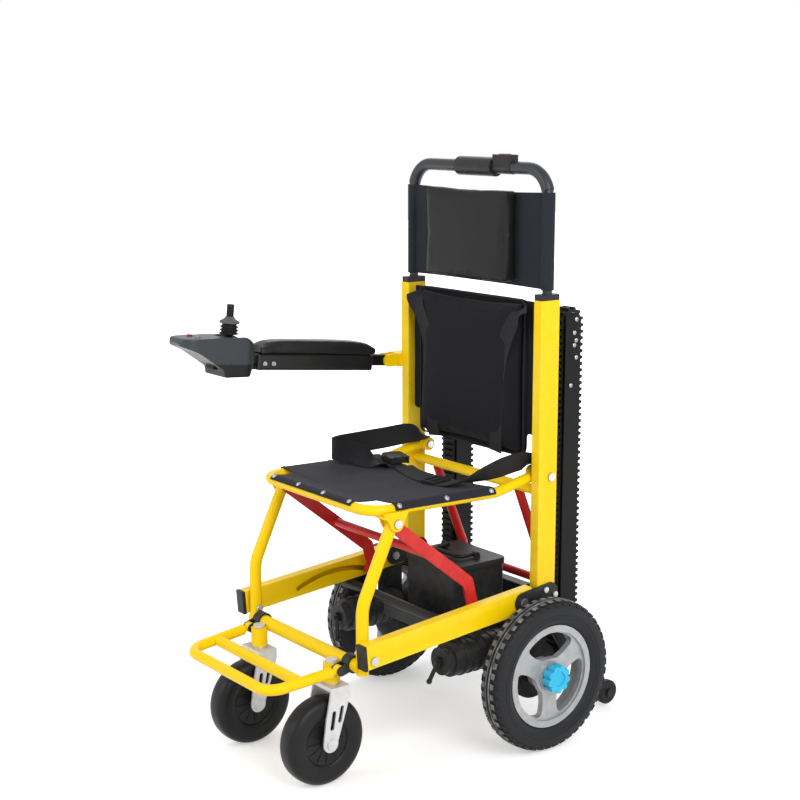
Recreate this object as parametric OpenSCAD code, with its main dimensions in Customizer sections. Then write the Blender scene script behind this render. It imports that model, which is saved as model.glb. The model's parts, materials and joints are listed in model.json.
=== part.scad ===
// Stair climbing wheelchair: folding yellow frame, powered rear wheels, swing-out stair tracks.
// Millimetres. +Z is up, the chair faces -Y and the occupant's left is +X.
// Lengths along Y are written from the rear axle; place() moves the origin under the middle.

/* [Rear wheels] */
// Outer diameter of the rear tyres
wheel_d = 320; // [300:1:340]
// Width of the rear tyres
wheel_w = 56; // [48:1:60]
// Height of the rear tyre above its rim's lips
tyre_h = 51.5; // [46:0.5:56]
// Width over the rear rim's lips
rim_w = 42; // [38:1:46]
// Distance from the middle of the chair to the middle of a rear tyre
wheel_x = 270; // [268:1:290]
// Diameter of the rear axle
axle_d = 20; // [16:1:24]
// Diameter over the lobes of the hub knob
knob_d = 60; // [46:1:70]
// Height of the hub knob along the axle
knob_h = 21; // [14:1:30]

/* [Casters] */
// Outer diameter of the casters
caster_d = 180; // [160:1:190]
// Width of the caster tyres
caster_w = 50; // [36:1:54]
// Distance from the middle of the chair to a caster stem
caster_x = 131; // [126:1:134]
// Place of the caster stems, from the rear axle
stem_y = -441; // [-450:1:-436]
// Distance by which the caster axle leads the stem
caster_lead = 25; // [10:1:30]
// Diameter of the caster stem
stem_d = 20; // [14:1:22]
// Thickness of the caster fork's plates
fork_t = 4; // [3:0.5:6]

/* [Box frame] */
// Distance from the middle of the chair to the middle of an upright or rail
frame_x = 217.5; // [214:0.5:222]
// Width of the box tube across the chair
tube_w = 25; // [22:0.5:28]
// Depth of the box tube
tube_d = 50; // [44:1:56]
// Wall of the box tube
tube_wall = 2; // [1.5:0.1:2.4]
// Middle of the uprights, from the rear axle
upright_y = 36; // [34:1:44]
// Height of the uprights' top end
upright_top = 929; // [900:1:960]
// Height of the uprights' bottom end
upright_bottom = 296; // [280:1:300]
// Front end of the lower rails, from the rear axle
rail_front_y = -426; // [-440:1:-422]
// Rear end of the lower rails, from the rear axle
rail_rear_y = -2; // [-10:1:0]
// Height of the rails' middle line at its front end
rail_front_z = 275; // [270:1:285]
// Slope of the rails, rising to the rear
rail_slope = 5; // [3:0.5:7]
// Thickness of the gusset plates
gusset_t = 4; // [3:0.5:5]

/* [Folding linkage] */
// Rear frame pivot on the rail, from the rear axle
pivot_rear_y = -30; // [-34:1:-26]
// Front leg pivot on the rail, from the rear axle
pivot_front_y = -410; // [-412:1:-404]
// Front leg pivot below the rail's middle line
pivot_front_drop = 9; // [4:1:12]
// Length of the links between lower and upper pivots
link_len = 265; // [255:1:275]
// Rearward lean of the links when the chair stands open
link_lean = 16; // [13:0.5:18]
// Angle through which the frame folds forward
fold_max = 40; // [30:1:42]
// Diameter of the pivot bolts
bolt_d = 10; // [8:0.5:12]

/* [Seat and legs] */
// Diameter of the front leg tubes
leg_d = 25; // [20:0.5:28]
// Height of the bend in the front legs
leg_bend_z = 365; // [340:1:390]
// Height of the lower ends of the front legs
leg_bottom_z = 229; // [224:1:236]
// Diameter of the seat tube
seat_d = 22; // [18:0.5:25]
// Front of the seat tube, from the rear axle
seat_front_y = -390; // [-410:1:-380]
// Height of the seat tube at the front
seat_front_z = 549; // [546:1:556]
// Where the seat tube starts to rise to the rear pivot
seat_bend_y = -72; // [-90:1:-60]
// Height of the seat tube at that bend
seat_bend_z = 541; // [538:1:546]
// Thickness of the seat fabric
sling_t = 3; // [2:0.5:5]
// Sag of the seat fabric between the side tubes
sling_sag = 10; // [4:1:18]

/* [Footrest] */
// Diameter of the footrest tube
foot_d = 22; // [16:0.5:24]
// Front of the footrest tube's middle line, from the rear axle
foot_front_y = -600; // [-640:1:-570]
// Half width of the footrest at the front
foot_front_x = 150; // [120:1:158]
// Height of the footrest tube at the front
foot_front_z = 223; // [220:1:240]

/* [Handle and head rest] */
// Diameter of the push handle tube
handle_d = 20; // [16:0.5:20]
// Height of the push bar above the uprights' top end
handle_rise = 261; // [240:1:300]
// Corner radius of the push handle
handle_bend = 60; // [40:1:80]
// Height of the push handle's lower ends above the uprights' bottom end
handle_low = 393; // [380:1:440]
// Width of the head pad
head_w = 262; // [200:1:320]
// Height of the head pad
head_h = 186; // [140:1:190]
// Thickness of the head pad
head_t = 30; // [18:1:40]

/* [Back rest] */
// Width of the back panel
back_w = 344; // [300:1:352]
// Height of the back panel's lower edge above the uprights' bottom end
back_rise = 301; // [296:1:340]
// Thickness of the back pad
back_t = 24; // [14:1:30]

/* [Arm rest] */
// Distance from the middle of the chair to the arm rest
arm_x = 253; // [252:1:262]
// Pivot of the arm rest, from the rear axle
arm_pivot_y = -18; // [-24:1:-14]
// Height of the arm rest's pivot
arm_pivot_z = 752; // [700:1:780]
// Forward rise of the arm rest
arm_rise = 6; // [0:0.5:9]
// Length of the arm pad
arm_pad_len = 304; // [240:1:310]
// Width of the controller case
case_w = 84; // [70:1:88]
// Length of the controller case
case_len = 166; // [140:1:180]

/* [Stair tracks] */
// Distance from the middle of the chair to the middle of a track
track_x = 174.5; // [173:0.5:176]
// Pivot and drive shaft of the tracks, from the rear axle
track_y = 131; // [126:1:138]
// Height of the tracks' drive shaft
track_bottom_z = 165; // [155:1:175]
// Height of the tracks' top pulleys
track_top_z = 872; // [820:1:880]
// Pulley radius of the tracks
pulley_r = 22; // [18:0.5:24]
// Width of the track belts
belt_w = 35; // [28:1:35]
// Thickness of the track belts below the lugs
belt_t = 5; // [4:0.5:6]
// Height of the belt lugs
lug_h = 6; // [4:0.5:7]
// Pitch of the belt lugs
lug_pitch = 13.5; // [12:0.5:18]

/* [Battery and anti-tip] */
// Width of the battery case
battery_w = 170; // [140:1:172]
// Length of the battery case
battery_len = 150; // [120:1:152]
// Height of the battery case
battery_h = 128; // [100:1:130]
// Front of the battery case, from the rear axle
battery_y = -94; // [-96:1:-90]
// Diameter of the anti-tip wheels
antitip_d = 54; // [40:1:60]
// Anti-tip wheels, from the rear axle
antitip_y = 262; // [240:1:280]

/* [Fits] */
// Radial clearance of turning and sliding fits
fit_run = 0.05; // [0.03:0.01:0.1]
// Radial clearance of the pivot left open in the folding linkage
fit_open = 0.4; // [0.3:0.05:0.6]
// Clearance beside moving plates
side_gap = 0.5; // [0.4:0.1:0.8]

/* [Hidden] */
$fn = 48;

// Heights that follow from the sizes above
axle_z = wheel_d / 2;
rim_d = wheel_d - 2 * tyre_h;
caster_z = caster_d / 2;
inner_x = frame_x - tube_w / 2;
outer_x = frame_x + tube_w / 2;
upright_front = upright_y - tube_d / 2;
handle_z = upright_top + handle_rise;
function rail_z(y) = rail_front_z + (y - rail_front_y) * tan(rail_slope);
rail_half = tube_d / 2 / cos(rail_slope);

// Pivots of the folding linkage, as [y, z]: A and D on the rail, B and C on the seat
link = link_len * [sin(link_lean), cos(link_lean)];
piv_a = [pivot_rear_y, rail_z(pivot_rear_y)];
piv_d = [pivot_front_y, rail_z(pivot_front_y) - pivot_front_drop];
piv_b = piv_a + link;
piv_c = piv_d + link;

// Side by side from the rail inwards: leg, bracket plates, brace bar
leg_x = inner_x - 1 - leg_d / 2;
plate_t = 3;
plate_gap = 1;
plate_in = leg_x - leg_d / 2 - plate_gap - plate_t;
plate_out = leg_x + leg_d / 2 + plate_gap;
brace_t = 5.5;
brace_w = 27;
brace_x = plate_in - side_gap - brace_t;
brace_pin_d = 8;
brace_pin = [-112, rail_z(-112) - 9];
brace_elbow = brace_pin + [-17, 64];
brace_bar_at = 0.58;
slot_w = brace_pin_d + 3;

// Seat eyes on the rear pivots
eye_d = seat_d + 8;
eye_x0 = inner_x - side_gap - 36;
eye_x1 = inner_x - side_gap;
seat_x = leg_x;
seat_corner = 48;
sling_r = seat_d / 2 + 0.4;

// Casters and front cross-bar
stem_house_d = stem_d + 14;
stem_house_top = leg_bottom_z + 15;
stem_house_bottom = leg_bottom_z - 23;
crossbar_d = 28;
crossbar_y = pivot_front_y - 4;
crossbar_z = leg_bottom_z + 16;
crown_t = 8;
crown_top = stem_house_bottom - 3;
fork_in = caster_w / 2 + 4;
caster_rim_d = caster_d - 2 * 28;
caster_axle_d = 12;

// Footrest hinge
foot_pin_d = 8;
foot_x = leg_x - leg_d / 2 - 18;
foot_eye_w = 14;
foot_ear_t = 4;
foot_hinge_y = crossbar_y - crossbar_d / 2 - 17;
foot_hinge_z = crossbar_z - 8;

// Rear wheel
bead_d = rim_d - 15;
hub_d = 62;
gear_d = 124;
gear_x0 = 150;
gear_x1 = wheel_x - wheel_w / 2 - 6;
axle_nose = 9;
motor_d = 72;
motor_x = 178;
motor_z = rail_front_z - 69;
motor_y0 = -45;
motor_y1 = -188;
brake_t = 18;
lever_d = 8;

antitip_arm_x = 168;
antitip_w = 20;
antitip_x0 = antitip_arm_x + 10 + side_gap;
antitip_pin_d = 10;

// Battery handle
battery_z = rail_front_z - 45;
lid_t = 14;
handle_bar_d = 9;
batt_hinge = [battery_y + battery_len / 2 + 14, battery_z + battery_h + handle_bar_d / 2 + 3];
batt_grip_x = 46;

// Tracks: belt between two plates, plates between belt and gusset
track_plate_t = 4;
track_half = belt_w / 2 + side_gap;
track_in = track_x - track_half - track_plate_t;
track_out = track_x + track_half + track_plate_t;
track_plate_w = 2 * pulley_r - 2;
track_shaft_d = 16;
gusset_in = inner_x - side_gap - gusset_t;
gusset_tail_w = 40;
gusset_nose_w = 42;
gusset_foot = [upright_y + 8, upright_bottom + 22];
trunnion_d = 30;
tie_d = 20;
tie_z = [track_top_z - 232, track_top_z - 72];
track_gear_d = 90;

// Rear frame and track carrier
cross_d = 22;
cross_top = [upright_y + 9, upright_top - 34];
cross_low = [upright_y, piv_b[1] - 34];
carrier_d = 20;
carrier_x = track_in - 6 - carrier_d / 2;
carrier_low = [track_y - 12, track_bottom_z + 163];
carrier_bar = carrier_low - [0, 24];
carrier_foot_z = track_bottom_z + 117;
beam_h = 24;
pedal_pin_d = 6;
pedal_hinge = carrier_low + [-22, -14];
pedal_lugs = [-95, -55];
pedal_reach = 22;
cap_h = 12;

// Soft parts
back_y = upright_y - 10;
back_bottom = upright_bottom + back_rise;
back_h = upright_top - 2 - back_bottom;
panel_t = 7;
wing_x = inner_x - 0.5;
wing_drop = 48;
head_bottom = upright_top + cap_h + 8;
head_sleeve_top = handle_z - handle_bend - 2;
head_top = head_sleeve_top + 16;
head_sleeve_d = handle_d + 7;
strap_w = 38;
strap_t = 2;

// Arm rest and controller
beam_w = 21;
arm_beam_h = 24;
arm_beam_len = 345;
arm_pad_w = 50;
arm_pad_t = 32;
arm_pin_d = 8;
ear_t = 5;
arm_bar_w = 30;
arm_bar_t = 9;
arm_bar_len = 260;
case_nose_y = -arm_beam_len - 201;
case_crest = 49;
stick_y = case_nose_y + 130;
stick_z = 22;
stick_d = 15;
stick_h = 92;
stick_pin_d = 6;
boot_d = 40;
boot_pocket_d = boot_d + 22;
gimbal_d = 8;
button_d = 12;
button_travel = 1.5;
button_h = 9;
button_y = case_nose_y + 46;
button_x = [-16, 16];
button_floor = 37;
cable_d = 6;

// Handle pod
pod_half = 57;
pod_d = 40;
pod_len = 56;
pod_h = 26;
switch_len = 26;
switch_w = 12;
switch_pin = 4;
switch_deep = 10;
switch_z = handle_z + pod_h - 5;

// Belts
belt_strap_w = 46;
belt_strap_t = 2.4;
idler_d = 12;

// Moves the chair so that the origin lies under the middle of its box
front_edge = foot_front_y - foot_d / 2;
rear_edge = antitip_y + antitip_d / 2;
y_mid = (front_edge + rear_edge) / 2;
yellow = "#f2d21b";
black = "#202225";
red = "#d8262b";
silver = "#c3c6c9";

module place() { translate([0, -y_mid, 0]) children(); }
module on_side(s) { if (s < 0) mirror([1, 0, 0]) children(); else children(); }
module both() { children(); mirror([1, 0, 0]) children(); }

function unit(v) = v / norm(v);
function p3(x, yz) = [x, yz[0], yz[1]];
function mix(a, b, t) = a + (b - a) * t;

// Round bar between two points
module rod(a, b, d) {
    v = b - a;
    translate(a) rotate([0, acos(v[2] / norm(v)), atan2(v[1], v[0])]) cylinder(h = norm(v), d = d);
}

// Round bar along X
module xrod(x0, x1, yz, d) { translate([x0, yz[0], yz[1]]) rotate([0, 90, 0]) cylinder(h = x1 - x0,
    d = d); }

// Tube along a path, each inner corner turned with its own bend radius; straights lap over the bends a little
module bent_tube(pts, bends, d) {
    n = len(pts) - 1;
    lap = 0.4;
    thin = 0.06;
    u = [for (i = [0:n - 1]) unit(pts[i + 1] - pts[i])];
    turn = [for (i = [0:n]) i == 0 || i == n ? 0 : acos(u[i - 1] * u[i])];
    cut = [for (i = [0:n]) i == 0 || i == n ? 0 : bends[i - 1] * tan(turn[i] / 2)];
    over = [for (c = cut) c == 0 ? 0 : c - lap];
    for (i = [0:n - 1]) rod(pts[i] + u[i] * over[i], pts[i + 1] - u[i] * over[i + 1], d);
    for (i = [1:n - 1]) {
        start = pts[i] - u[i - 1] * cut[i];
        toward = unit(u[i] - u[i - 1] * (u[i - 1] * u[i]));
        c = start + toward * bends[i - 1];
        z = cross(-toward, u[i - 1]);
        multmatrix([[-toward[0], u[i - 1][0], z[0], c[0]],
                [-toward[1], u[i - 1][1], z[1], c[1]],
                [-toward[2], u[i - 1][2], z[2], c[2]]])
            rotate_extrude(angle = turn[i]) translate([bends[i - 1], 0]) circle(d = d - thin);
    }
}

// Flat shapes drawn in [y, z], given a thickness along X
module yz_plate(x0, x1) {
    translate([x0, 0, 0]) multmatrix([[0, 0, 1, 0], [1, 0, 0, 0], [0, 1, 0, 0]]) linear_extrude(x1 - x0)
        children();
}

// Flat shapes drawn in [x, z], given a thickness along Y
module xz_plate(y0, y1) { translate([0, y1, 0]) rotate([90, 0, 0]) linear_extrude(y1 - y0) children(); }

// Flat bar with round ends
module bar2(p, q, w) {
    v = q - p;
    translate(p) circle(d = w);
    translate(q) circle(d = w);
    translate(p) rotate(atan2(v[1], v[0])) translate([0, -w / 2]) square([norm(v), w]);
}

// Rectangle with round corners, centred
module rrect(w, h, r) {
    square([w - 2 * r, h], center = true);
    square([w, h - 2 * r], center = true);
    for (x = [-1, 1], y = [-1, 1]) translate([x * (w / 2 - r), y * (h / 2 - r)]) circle(r = r);
}

// Closed sheet between two grids of points, given as functions of the grid place
module sheet(nx, ny, front, back) {
    m = (nx + 1) * (ny + 1);
    function id(i, j, s) = s * m + i * (ny + 1) + j;
    ring = concat([for (i = [0:nx - 1]) [i, 0]], [for (j = [0:ny - 1]) [nx, j]],
        [for (i = [nx:-1:1]) [i, ny]], [for (j = [ny:-1:1]) [0, j]]);
    pts = concat([for (i = [0:nx], j = [0:ny]) front(i, j)], [for (i = [0:nx], j = [0:ny]) back(i, j)]);
    faces = concat(
        [for (i = [0:nx - 1], j = [0:ny - 1]) each [[id(i, j, 0), id(i + 1, j + 1, 0), id(i + 1, j, 0)],
            [id(i, j, 0), id(i, j + 1, 0), id(i + 1, j + 1, 0)]]],
        [for (i = [0:nx - 1], j = [0:ny - 1]) each [[id(i, j, 1), id(i + 1, j, 1), id(i + 1, j + 1, 1)],
            [id(i, j, 1), id(i + 1, j + 1, 1), id(i, j + 1, 1)]]],
        [for (k = [0:len(ring) - 1]) let (p = ring[k], q = ring[(k + 1) % len(ring)])
            each [[id(p[0], p[1], 0), id(q[0], q[1], 0), id(q[0], q[1], 1)],
                [id(p[0], p[1], 0), id(q[0], q[1], 1), id(p[0], p[1], 1)]]]);
    polyhedron(pts, faces, convexity = 6);
}

// Crowned cushion: sides drawn in between the corners, the front fuller than the back
module cushion(w, h, front, back, edge, pull, nx, ny) {
    fall = function(t) sqrt(max(0, 1 - pow(abs(t), 5)));
    at = function(i, j, side) let (a = 2 * i / nx - 1, b = 2 * j / ny - 1, full = fall(a) * fall(b))
        [a * (w / 2 - pull * (1 - b * b)), b * (h / 2 - pull * (1 - a * a)),
        side > 0 ? edge / 2 + (front - edge / 2) * full : -edge / 2 - (back - edge / 2) * full];
    sheet(nx, ny, function(i, j) at(i, j, 1), function(i, j) at(i, j, -1));
}

// Flat webbing along a path: each step is [point, direction across]
module webbing(path, w, t) {
    n = len(path);
    function along(i) = unit(path[min(i + 1, n - 1)][0] - path[max(i - 1, 0)][0]);
    function corner(i, k) = let (across = unit(path[i][1]), up = unit(cross(along(i), across)),
        s = [[1, 1], [-1, 1], [-1, -1], [1, -1]][k]) path[i][0] + across * (s[0] * w / 2)
            + up * (s[1] * t / 2);
    pts = [for (i = [0:n - 1], k = [0:3]) corner(i, k)];
    faces = concat([for (i = [0:n - 2], k = [0:3]) let (a = 4 * i + k, b = 4 * i + (k + 1) % 4)
        each [[a, b + 4, b], [a, a + 4, b + 4]]],
        [[0, 1, 2], [0, 2, 3]], [for (f = [[2, 1], [3, 2]]) let (e = 4 * (n - 1)) [e, e + f[0], e + f[1]]]);
    polyhedron(pts, faces, convexity = 4);
}

// Lower rails, with the arc-shaped slot that the brace pins travel in
module lower_rails() {
    rail_len = (rail_rear_y - rail_front_y) / cos(rail_slope);
    color(yellow) place() both() difference() {
        translate([inner_x, rail_front_y, rail_front_z]) rotate([rail_slope, 0, 0]) difference() {
            translate([0, 0, -tube_d / 2]) cube([tube_w, rail_len, tube_d]);
            translate([tube_wall, -1, tube_wall - tube_d / 2])
                cube([tube_w - 2 * tube_wall, rail_len + 2, tube_d - 2 * tube_wall]);
        }
        xrod(inner_x - 1, outer_x + 1, piv_a, bolt_d + 2.04);
        xrod(inner_x - 1, outer_x + 1, piv_d, bolt_d + 0.04);
        slot_cut();
    }
}

module slot_cut() {
    depth = tube_wall + 2;
    centre = brace_pin - link;
    translate([inner_x - 1, centre[0], centre[1]]) multmatrix([[0, 0, 1, 0], [1, 0, 0, 0], [0, 1, 0, 0]]) {
        rotate(90 - link_lean) {
            rotate_extrude(angle = fold_max) translate([link_len - slot_w / 2, 0]) square([slot_w, depth]);
            for (a = [0, fold_max]) rotate(a) translate([link_len, 0, 0]) cylinder(h = depth, d = slot_w);
        }
    }
}

module rail_end_caps() {
    cap = 8;
    plug = 8;
    color(black) place() both() translate([inner_x, rail_front_y, rail_front_z]) rotate([rail_slope, 0,
        0]) {
        translate([0, -cap, -tube_d / 2]) cube([tube_w, cap, tube_d]);
        translate([tube_wall + 0.1, 0, tube_wall + 0.1 - tube_d / 2])
            cube([tube_w - 2 * tube_wall - 0.2, plug, tube_d - 2 * tube_wall - 0.2]);
    }
}

// Pivot bolts fixed in the rails: rear frame pivots and front leg pivots
module rail_bolts() {
    head = 5;
    color(silver) place() both() {
        xrod(gusset_in - side_gap, outer_x + 2 * side_gap + gusset_t, piv_a, bolt_d + 2);
        xrod(outer_x + 2 * side_gap + gusset_t, outer_x + 2 * side_gap + gusset_t + 4, piv_a, bolt_d + 9);
        xrod(gusset_in - side_gap - head, gusset_in - side_gap, piv_a, bolt_d + 8);
        xrod(leg_x - leg_d / 2 - side_gap, outer_x, piv_d, bolt_d);
        xrod(outer_x, outer_x + head, piv_d, bolt_d + 8);
        xrod(leg_x - leg_d / 2 - side_gap - head, leg_x - leg_d / 2 - side_gap, piv_d, bolt_d + 4);
    }
}

// Beam between the gearboxes with the battery tray, and the anti-tip arms
module axle_beam() {
    beam_d = 44;
    tray_t = 5;
    tray_z = battery_z;
    hanger_y = -150;
    hanger_d = 22;
    hanger_z = rail_z(hanger_y) - (tube_d / 2 + hanger_d / 2 + 0.05) / cos(rail_slope);
    arm_end = [antitip_y, antitip_d / 2 + 7];
    reach = unit(arm_end - [0, axle_z]);
    arm_start = [0, axle_z] + reach * (gear_d / 2 + 0.05);
    color(black) place() {
        xrod(-gear_x0 + 0.05, gear_x0 - 0.05, [0, axle_z], beam_d);
        translate([-battery_w / 2 - 4, hanger_y, tray_z - tray_t])
            cube([battery_w + 8, battery_y + battery_len + 4 - hanger_y, tray_t]);
        for (x = [-battery_w / 2, battery_w / 2 - 10])
            translate([x, -16, axle_z + 10]) cube([10, 32, tray_z - tray_t / 2 - axle_z - 10]);
        xrod(-outer_x, outer_x, [hanger_y, hanger_z], hanger_d);
        translate([-battery_w / 2, hanger_y, tray_z - tray_t]) cube([battery_w, tray_t,
            hanger_z - tray_z + tray_t]);
        both() {
            rod(p3(antitip_arm_x, arm_start), p3(antitip_arm_x, arm_end), 18);
            xrod(antitip_arm_x - 10, antitip_x0 - side_gap, arm_end, 24);
            xrod(antitip_arm_x, antitip_x0 + side_gap + antitip_w, arm_end, antitip_pin_d);
            xrod(antitip_x0 + side_gap + antitip_w, antitip_x0 + side_gap + antitip_w + 4, arm_end, 18);
        }
    }
}

module antitip_wheel(s) {
    color(black) place() on_side(s)
        translate([antitip_x0, antitip_y, antitip_d / 2 + 7]) rotate([0, 90, 0])
            rotate_extrude() polygon([[antitip_pin_d / 2 + fit_run, 0], [antitip_d / 2 - 5, 0],
                [antitip_d / 2, 4],
                [antitip_d / 2, antitip_w - 4], [antitip_d / 2 - 5, antitip_w],
                    [antitip_pin_d / 2 + fit_run, antitip_w]]);
}
module antitip_wheel_left() { antitip_wheel(1); }
module antitip_wheel_right() { antitip_wheel(-1); }

// Battery box with an overhanging lid and the two lugs of its handle
module battery_case() {
    mid_y = battery_y + battery_len / 2;
    color(black) place() difference() {
        union() {
            translate([0, mid_y, battery_z]) linear_extrude(battery_h - lid_t) rrect(battery_w - 6,
                battery_len - 6, 12);
            translate([0, mid_y, battery_z + battery_h - lid_t]) linear_extrude(lid_t) rrect(battery_w,
                battery_len, 14);
            both() yz_plate(batt_grip_x + 7, batt_grip_x + 13)
                bar2([batt_hinge[0], battery_z + battery_h - 4], batt_hinge, 14);
        }
        both() xrod(batt_grip_x + 6, batt_grip_x + 14, batt_hinge, 6 + 2 * fit_run);
    }
}

module battery_handle() {
    front = batt_hinge[0] - 40;
    color(black) place() {
        bent_tube([p3(-batt_grip_x, batt_hinge), [-batt_grip_x, front, batt_hinge[1]],
            [batt_grip_x, front, batt_hinge[1]], p3(batt_grip_x, batt_hinge)], [14, 14], handle_bar_d);
        both() {
            xrod(batt_grip_x - 5, batt_grip_x + 6, batt_hinge, 11);
            xrod(batt_grip_x, batt_grip_x + 12, batt_hinge, 6);
        }
    }
}

// Gearbox on the axle, its bracket under the rail, and the motor lying forward with its brake
module drive_units() {
    brk_y0 = -58;
    brk_y1 = -6;
    color(black) place() both() difference() {
        union() {
            xrod(gear_x0, gear_x1, [0, axle_z], gear_d);
            xrod(gear_x1 - 0.01, gear_x1 + 2, [0, axle_z], gear_d - 40);
            yz_plate(inner_x + 1, outer_x - 1)
                polygon([[brk_y0, axle_z + 20], [brk_y1, axle_z + 20],
                    [brk_y1, rail_z(brk_y1) - rail_half], [brk_y0, rail_z(brk_y0) - rail_half]]);
            translate([motor_x, motor_y0, motor_z]) rotate([90, 0, 0]) cylinder(h = motor_y0 - motor_y1,
                d = motor_d);
            translate([motor_x, motor_y1 + 1, motor_z]) rotate([90, 0, 0]) cylinder(h = brake_t + 1,
                d = motor_d - 14);
            translate([motor_x, motor_y1 - brake_t + 1, motor_z]) rotate([90, 0, 0]) cylinder(h = 14,
                d = lever_d);
            for (k = [0:5]) translate([motor_x, motor_y0 - 14 - k * 20, motor_z]) rotate([90, 0, 0])
                cylinder(h = 6, d = motor_d + 4);
        }
        xrod(gear_x1 - 46, gear_x1 + 3, [0, axle_z], axle_d + 2 * fit_run);
    }
}

// Lever that lets the motor brake go for pushing
module brake_lever(s) {
    y0 = motor_y1 - brake_t - side_gap;
    color(black) place() on_side(s) difference() {
        union() {
            translate([motor_x, y0, motor_z]) rotate([90, 0, 0]) cylinder(h = 8, d = 20);
            translate([motor_x, y0 - 4, motor_z]) rod([0, 0, 0], [-16, -10, -44], 9);
            translate([motor_x - 16, y0 - 14, motor_z - 44]) sphere(d = 12);
        }
        translate([motor_x, y0 + 1, motor_z]) rotate([90, 0, 0]) cylinder(h = 20,
            d = lever_d + 2 * fit_run);
    }
}
module brake_lever_left() { brake_lever(1); }
module brake_lever_right() { brake_lever(-1); }

module wheel_axis(s) { place() on_side(s) translate([wheel_x, 0, axle_z]) rotate([0, 90, 0]) children(); }

// Rear tyre: rounded shoulders, a rib and grooves round the crown
module rear_tyre(s) {
    r = wheel_d / 2;
    h = wheel_w / 2;
    b = bead_d / 2 + 0.3;
    half = rim_w / 2 - 3.2;
    side = [[b, half], [rim_d / 2 + 0.4, half], [rim_d / 2 + 2.5, h - 6], [r - 34, h - 0.5], [r - 20, h],
        [r - 9, h - 3], [r - 6, h - 7], [r - 9, h - 9], [r - 8, h - 12], [r - 2, h - 15], [r, 5], [r, 2],
            [r - 5, 1.5]];
    color(black) wheel_axis(s)
        rotate_extrude($fn = 96) polygon(concat(side, [for (i = [len(side) - 1:-1:0]) [side[i][0],
            -side[i][1]]]));
}
module rear_tyre_left() { rear_tyre(1); }
module rear_tyre_right() { rear_tyre(-1); }

// Cast rim with three broad spokes, and the axle pressed into its hub
module rear_rim(s) {
    b = bead_d / 2;
    in = b - 6.5;
    disc_t = 14;
    half = rim_w / 2;
    color(silver) wheel_axis(s) {
        difference() {
            union() {
                rotate_extrude($fn = 96) polygon([[in, -half], [rim_d / 2, -half], [rim_d / 2,
                    -half + 2.5], [b, -half + 2.5],
                    [b, half - 2.5], [rim_d / 2, half - 2.5], [rim_d / 2, half], [in, half]]);
                translate([0, 0, half - 6 - disc_t]) linear_extrude(disc_t) difference() {
                    circle(r = in + 1, $fn = 96);
                    for (k = [0:2]) rotate(120 * k + 60) rim_window(in);
                }
                translate([0, 0, -half]) cylinder(h = rim_w, d = hub_d);
            }
            translate([0, 0, -half - 1]) cylinder(h = rim_w + 2, d = axle_d + 0.04);
        }
        translate([0, 0, gear_x1 - 44 - wheel_x])
            cylinder(h = wheel_x - gear_x1 + 44 + rim_w / 2 + 1.5 + axle_nose, d = axle_d);
        translate([0, 0, gear_x1 + 2 + side_gap - wheel_x])
            difference() {
                cylinder(h = wheel_x - half - gear_x1 - 2 - side_gap, d = axle_d + 14);
                translate([0, 0, -1]) cylinder(h = 60, d = axle_d + 0.04);
            }
    }
}
// Window between two spokes: shares of the way from hub to rim, each with its half angle
module rim_window(in) {
    near = hub_d / 2 + 6;
    way = in - 3 - near;
    half = [[0, 0], [0.01, 15], [0.05, 27], [0.17, 34], [0.42, 41.5], [0.72, 44], [0.86, 43.5], [0.95, 41],
        [0.99, 37], [1, 25], [1, 12]];
    ring = concat(half, [[1, 0]], [for (i = [len(half) - 1:-1:1]) [half[i][0], -half[i][1]]]);
    polygon([for (p = ring) (near + p[0] * way) * [cos(p[1]), sin(p[1])]]);
}
module rear_rim_left() { rear_rim(1); }
module rear_rim_right() { rear_rim(-1); }

// Lobed clutch knob on the axle's nose
module hub_knob(s) {
    lobes = 9;
    lobe_d = 15;
    color("#2fb6d8") wheel_axis(s) translate([0, 0, rim_w / 2 + 1.5 + side_gap]) difference() {
        linear_extrude(knob_h) {
            circle(d = knob_d - lobe_d + 3);
            for (k = [0:lobes - 1]) rotate(360 / lobes * k) translate([(knob_d - lobe_d) / 2, 0])
                circle(d = lobe_d);
        }
        translate([0, 0, -1]) cylinder(h = axle_nose + 1, d = axle_d + 2 * fit_run);
        translate([0, 0, knob_h - 3]) cylinder(h = 4, d = knob_d - lobe_d - 14);
    }
}
module hub_knob_left() { hub_knob(1); }
module hub_knob_right() { hub_knob(-1); }

// Front legs, cross-bar and caster stem housings, welded as one
module front_frame() {
    bend = [pivot_front_y, leg_bend_z];
    color(yellow) place() difference() {
        union() {
            for (x = [-leg_x, leg_x])
                bent_tube([p3(x, mix(piv_c, bend, 0.02)), p3(x, bend), [x, pivot_front_y, leg_bottom_z]],
                    [90], leg_d);
            both() {
                xrod(leg_x - leg_d / 2 - 0.5, leg_x + leg_d / 2 + 0.5, piv_c, leg_d - 3);
                translate([caster_x, stem_y, stem_house_bottom])
                    cylinder(h = stem_house_top - stem_house_bottom, d = stem_house_d);
            }
            xrod(-leg_x - 2, leg_x + 2, [crossbar_y, crossbar_z], crossbar_d);
        }
        both() {
            xrod(leg_x - leg_d, leg_x + leg_d, piv_c, bolt_d + 2 * fit_open);
            xrod(leg_x - leg_d, leg_x + leg_d, piv_d, bolt_d + 2 * fit_run);
            translate([caster_x, stem_y, stem_house_bottom - 1])
                cylinder(h = stem_house_top - stem_house_bottom + 2, d = stem_d + 2 * fit_run);
        }
    }
}

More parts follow.
